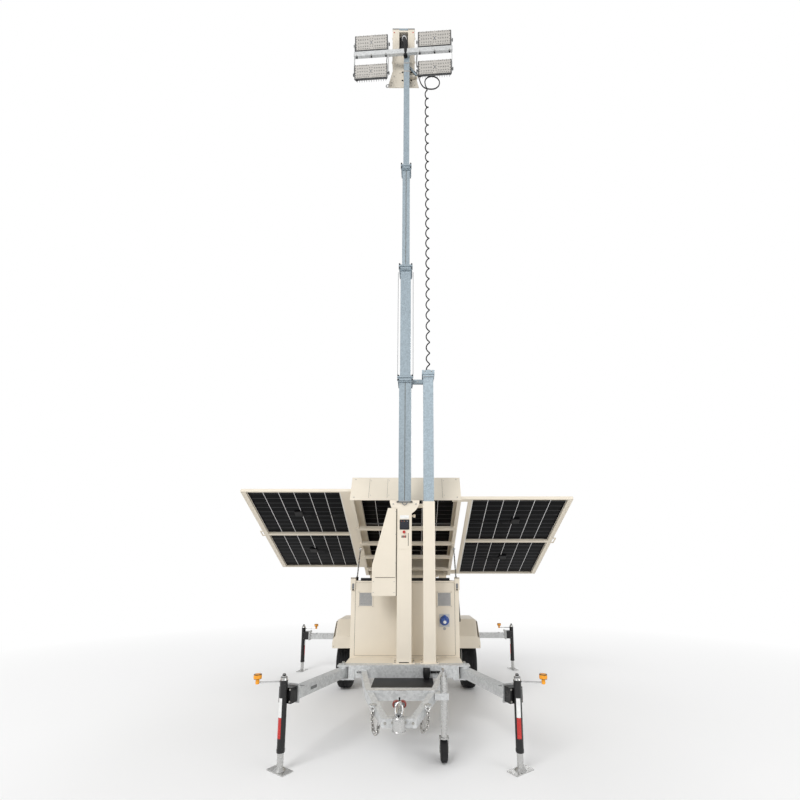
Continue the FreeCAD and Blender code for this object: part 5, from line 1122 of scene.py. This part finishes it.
class TOWER_OT_stage(Operator):
    """Pale floor, even sky, large soft lamps and the camera at the photograph's place."""

    bl_idname = "tower.stage"
    bl_label = "Stage"

    def execute(self, context):
        s = context.scene.tower_sizes
        rings = [around(np.zeros(3), r * X, r * Y, full_turn(96)) for r in (0.5, 3, 8, 20, 60, 160)]
        grid = np.arange(len(rings) * 96).reshape(-1, 96)
        faces = np.stack([grid[:-1], grid[1:], np.roll(grid[1:], -1, 1), np.roll(grid[:-1], -1, 1)], -1)
        mesh = bpy.data.meshes.new("studio_floor")
        mesh.from_pydata(np.concatenate(rings).tolist(), [], [grid[0].tolist()] + faces.reshape(-1, 4).tolist())
        # The floor is shaded near the tower and turns into the white of the sky further out.
        floor = finish_tree("Studio floor", Base_Color=(0.93, 0.93, 0.93, 1), Roughness=0.95, Specular_IOR_Level=0.0)
        far = floor.new("VectorMath", "Value", ((0, floor.coords),), operation="LENGTH")
        share = floor.new("MapRange", 0, (("From Min", FLOOR_FADE[0]), ("From Max", FLOOR_FADE[1]), ("Value", far)))
        both = floor.sum("MULTIPLY", share, floor.new("LightPath", "Is Camera Ray"))
        glow = floor.new("Emission", 0, (("Strength", 1.0),))
        mix = floor.new("MixShader", 0, ((0, both), (1, floor.shader.outputs[0]), (2, glow)))
        floor.feed(floor.nodes["Material Output"].inputs["Surface"], mix)
        mesh.materials.append(floor.owner)
        linked("studio_floor", mesh)

        # The sky lights evenly and is seen as plain white.
        context.scene.world = bpy.data.worlds.new("Studio sky")
        sky = Tree(context.scene.world)
        white, even = (1, 1, 1, 1), sky.nodes["Background"]
        even.inputs["Color"].default_value, even.inputs["Strength"].default_value = white, s.sky_light
        seen = sky.sum("MAXIMUM", *(sky.new("LightPath", ray) for ray in ("Is Camera Ray", "Is Transmission Ray")))
        plain_white = sky.new("Background", 0, (("Color", white), ("Strength", 1.0)))
        mix = sky.new("MixShader", 0, ((0, seen), (1, even.outputs[0]), (2, plain_white)))
        sky.feed(sky.nodes["World Output"].inputs["Surface"], mix)

        for name, spot, aim, size, share in STUDIO_LAMPS:
            light = bpy.data.lights.new("studio_" + name, "AREA")
            light.shape = "SQUARE"
            light.size = size
            light.energy = s.key_light * share
            lamp = linked("studio_" + name, light)
            lamp.location = spot
            lamp.rotation_euler = (Vector((0, 0, aim)) - Vector(spot)).to_track_quat("-Z", "Y").to_euler()

        view = bpy.data.cameras.new("photo_camera")
        for key, value in CAMERA_VIEW.items():
            setattr(view, key, value)
        camera = linked("photo_camera", view)
        camera.location = CAMERA_SPOT
        camera.rotation_euler = (math.radians(CAMERA_TILT), 0, 0)
        context.scene.camera = camera
        context.scene.view_settings.view_transform = "Standard"
        return {"FINISHED"}


OPERATORS = (TOWER_OT_stage, TOWER_OT_finishes, TOWER_OT_cords, TOWER_OT_tyres, TOWER_OT_box_detail,
             TOWER_OT_column_detail, TOWER_OT_mast_detail, TOWER_OT_lamps, TOWER_OT_head_detail, TOWER_OT_deck_detail,
             TOWER_OT_outriggers, TOWER_OT_chassis_detail)


class TOWER_PT_sidebar(Panel):
    """Lists the tower's sizes, colours and pieces in the sidebar."""

    bl_label = "Light tower"
    bl_space_type = "VIEW_3D"
    bl_region_type = "UI"
    bl_category = "Light tower"

    def draw(self, context):
        for group in (context.scene.tower_sizes, context.scene.tower_colours):
            for key in type(group).__annotations__:
                self.layout.prop(group, key)
        for item in OPERATORS:
            self.layout.operator(item.bl_idname)


CLASSES = (TowerColours, TowerSizes, *OPERATORS, TOWER_PT_sidebar)


def register():
    for item in CLASSES:
        bpy.utils.register_class(item)
    bpy.types.Scene.tower_colours = PointerProperty(type=TowerColours)
    bpy.types.Scene.tower_sizes = PointerProperty(type=TowerSizes)


def unregister():
    del bpy.types.Scene.tower_sizes
    del bpy.types.Scene.tower_colours
    for item in reversed(CLASSES):
        bpy.utils.unregister_class(item)


def main():
    """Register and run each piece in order."""
    register()
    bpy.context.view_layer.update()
    for item in OPERATORS:
        group, name = item.bl_idname.split(".")
        getattr(getattr(bpy.ops, group), name)()


if __name__ == "__main__":
    main()
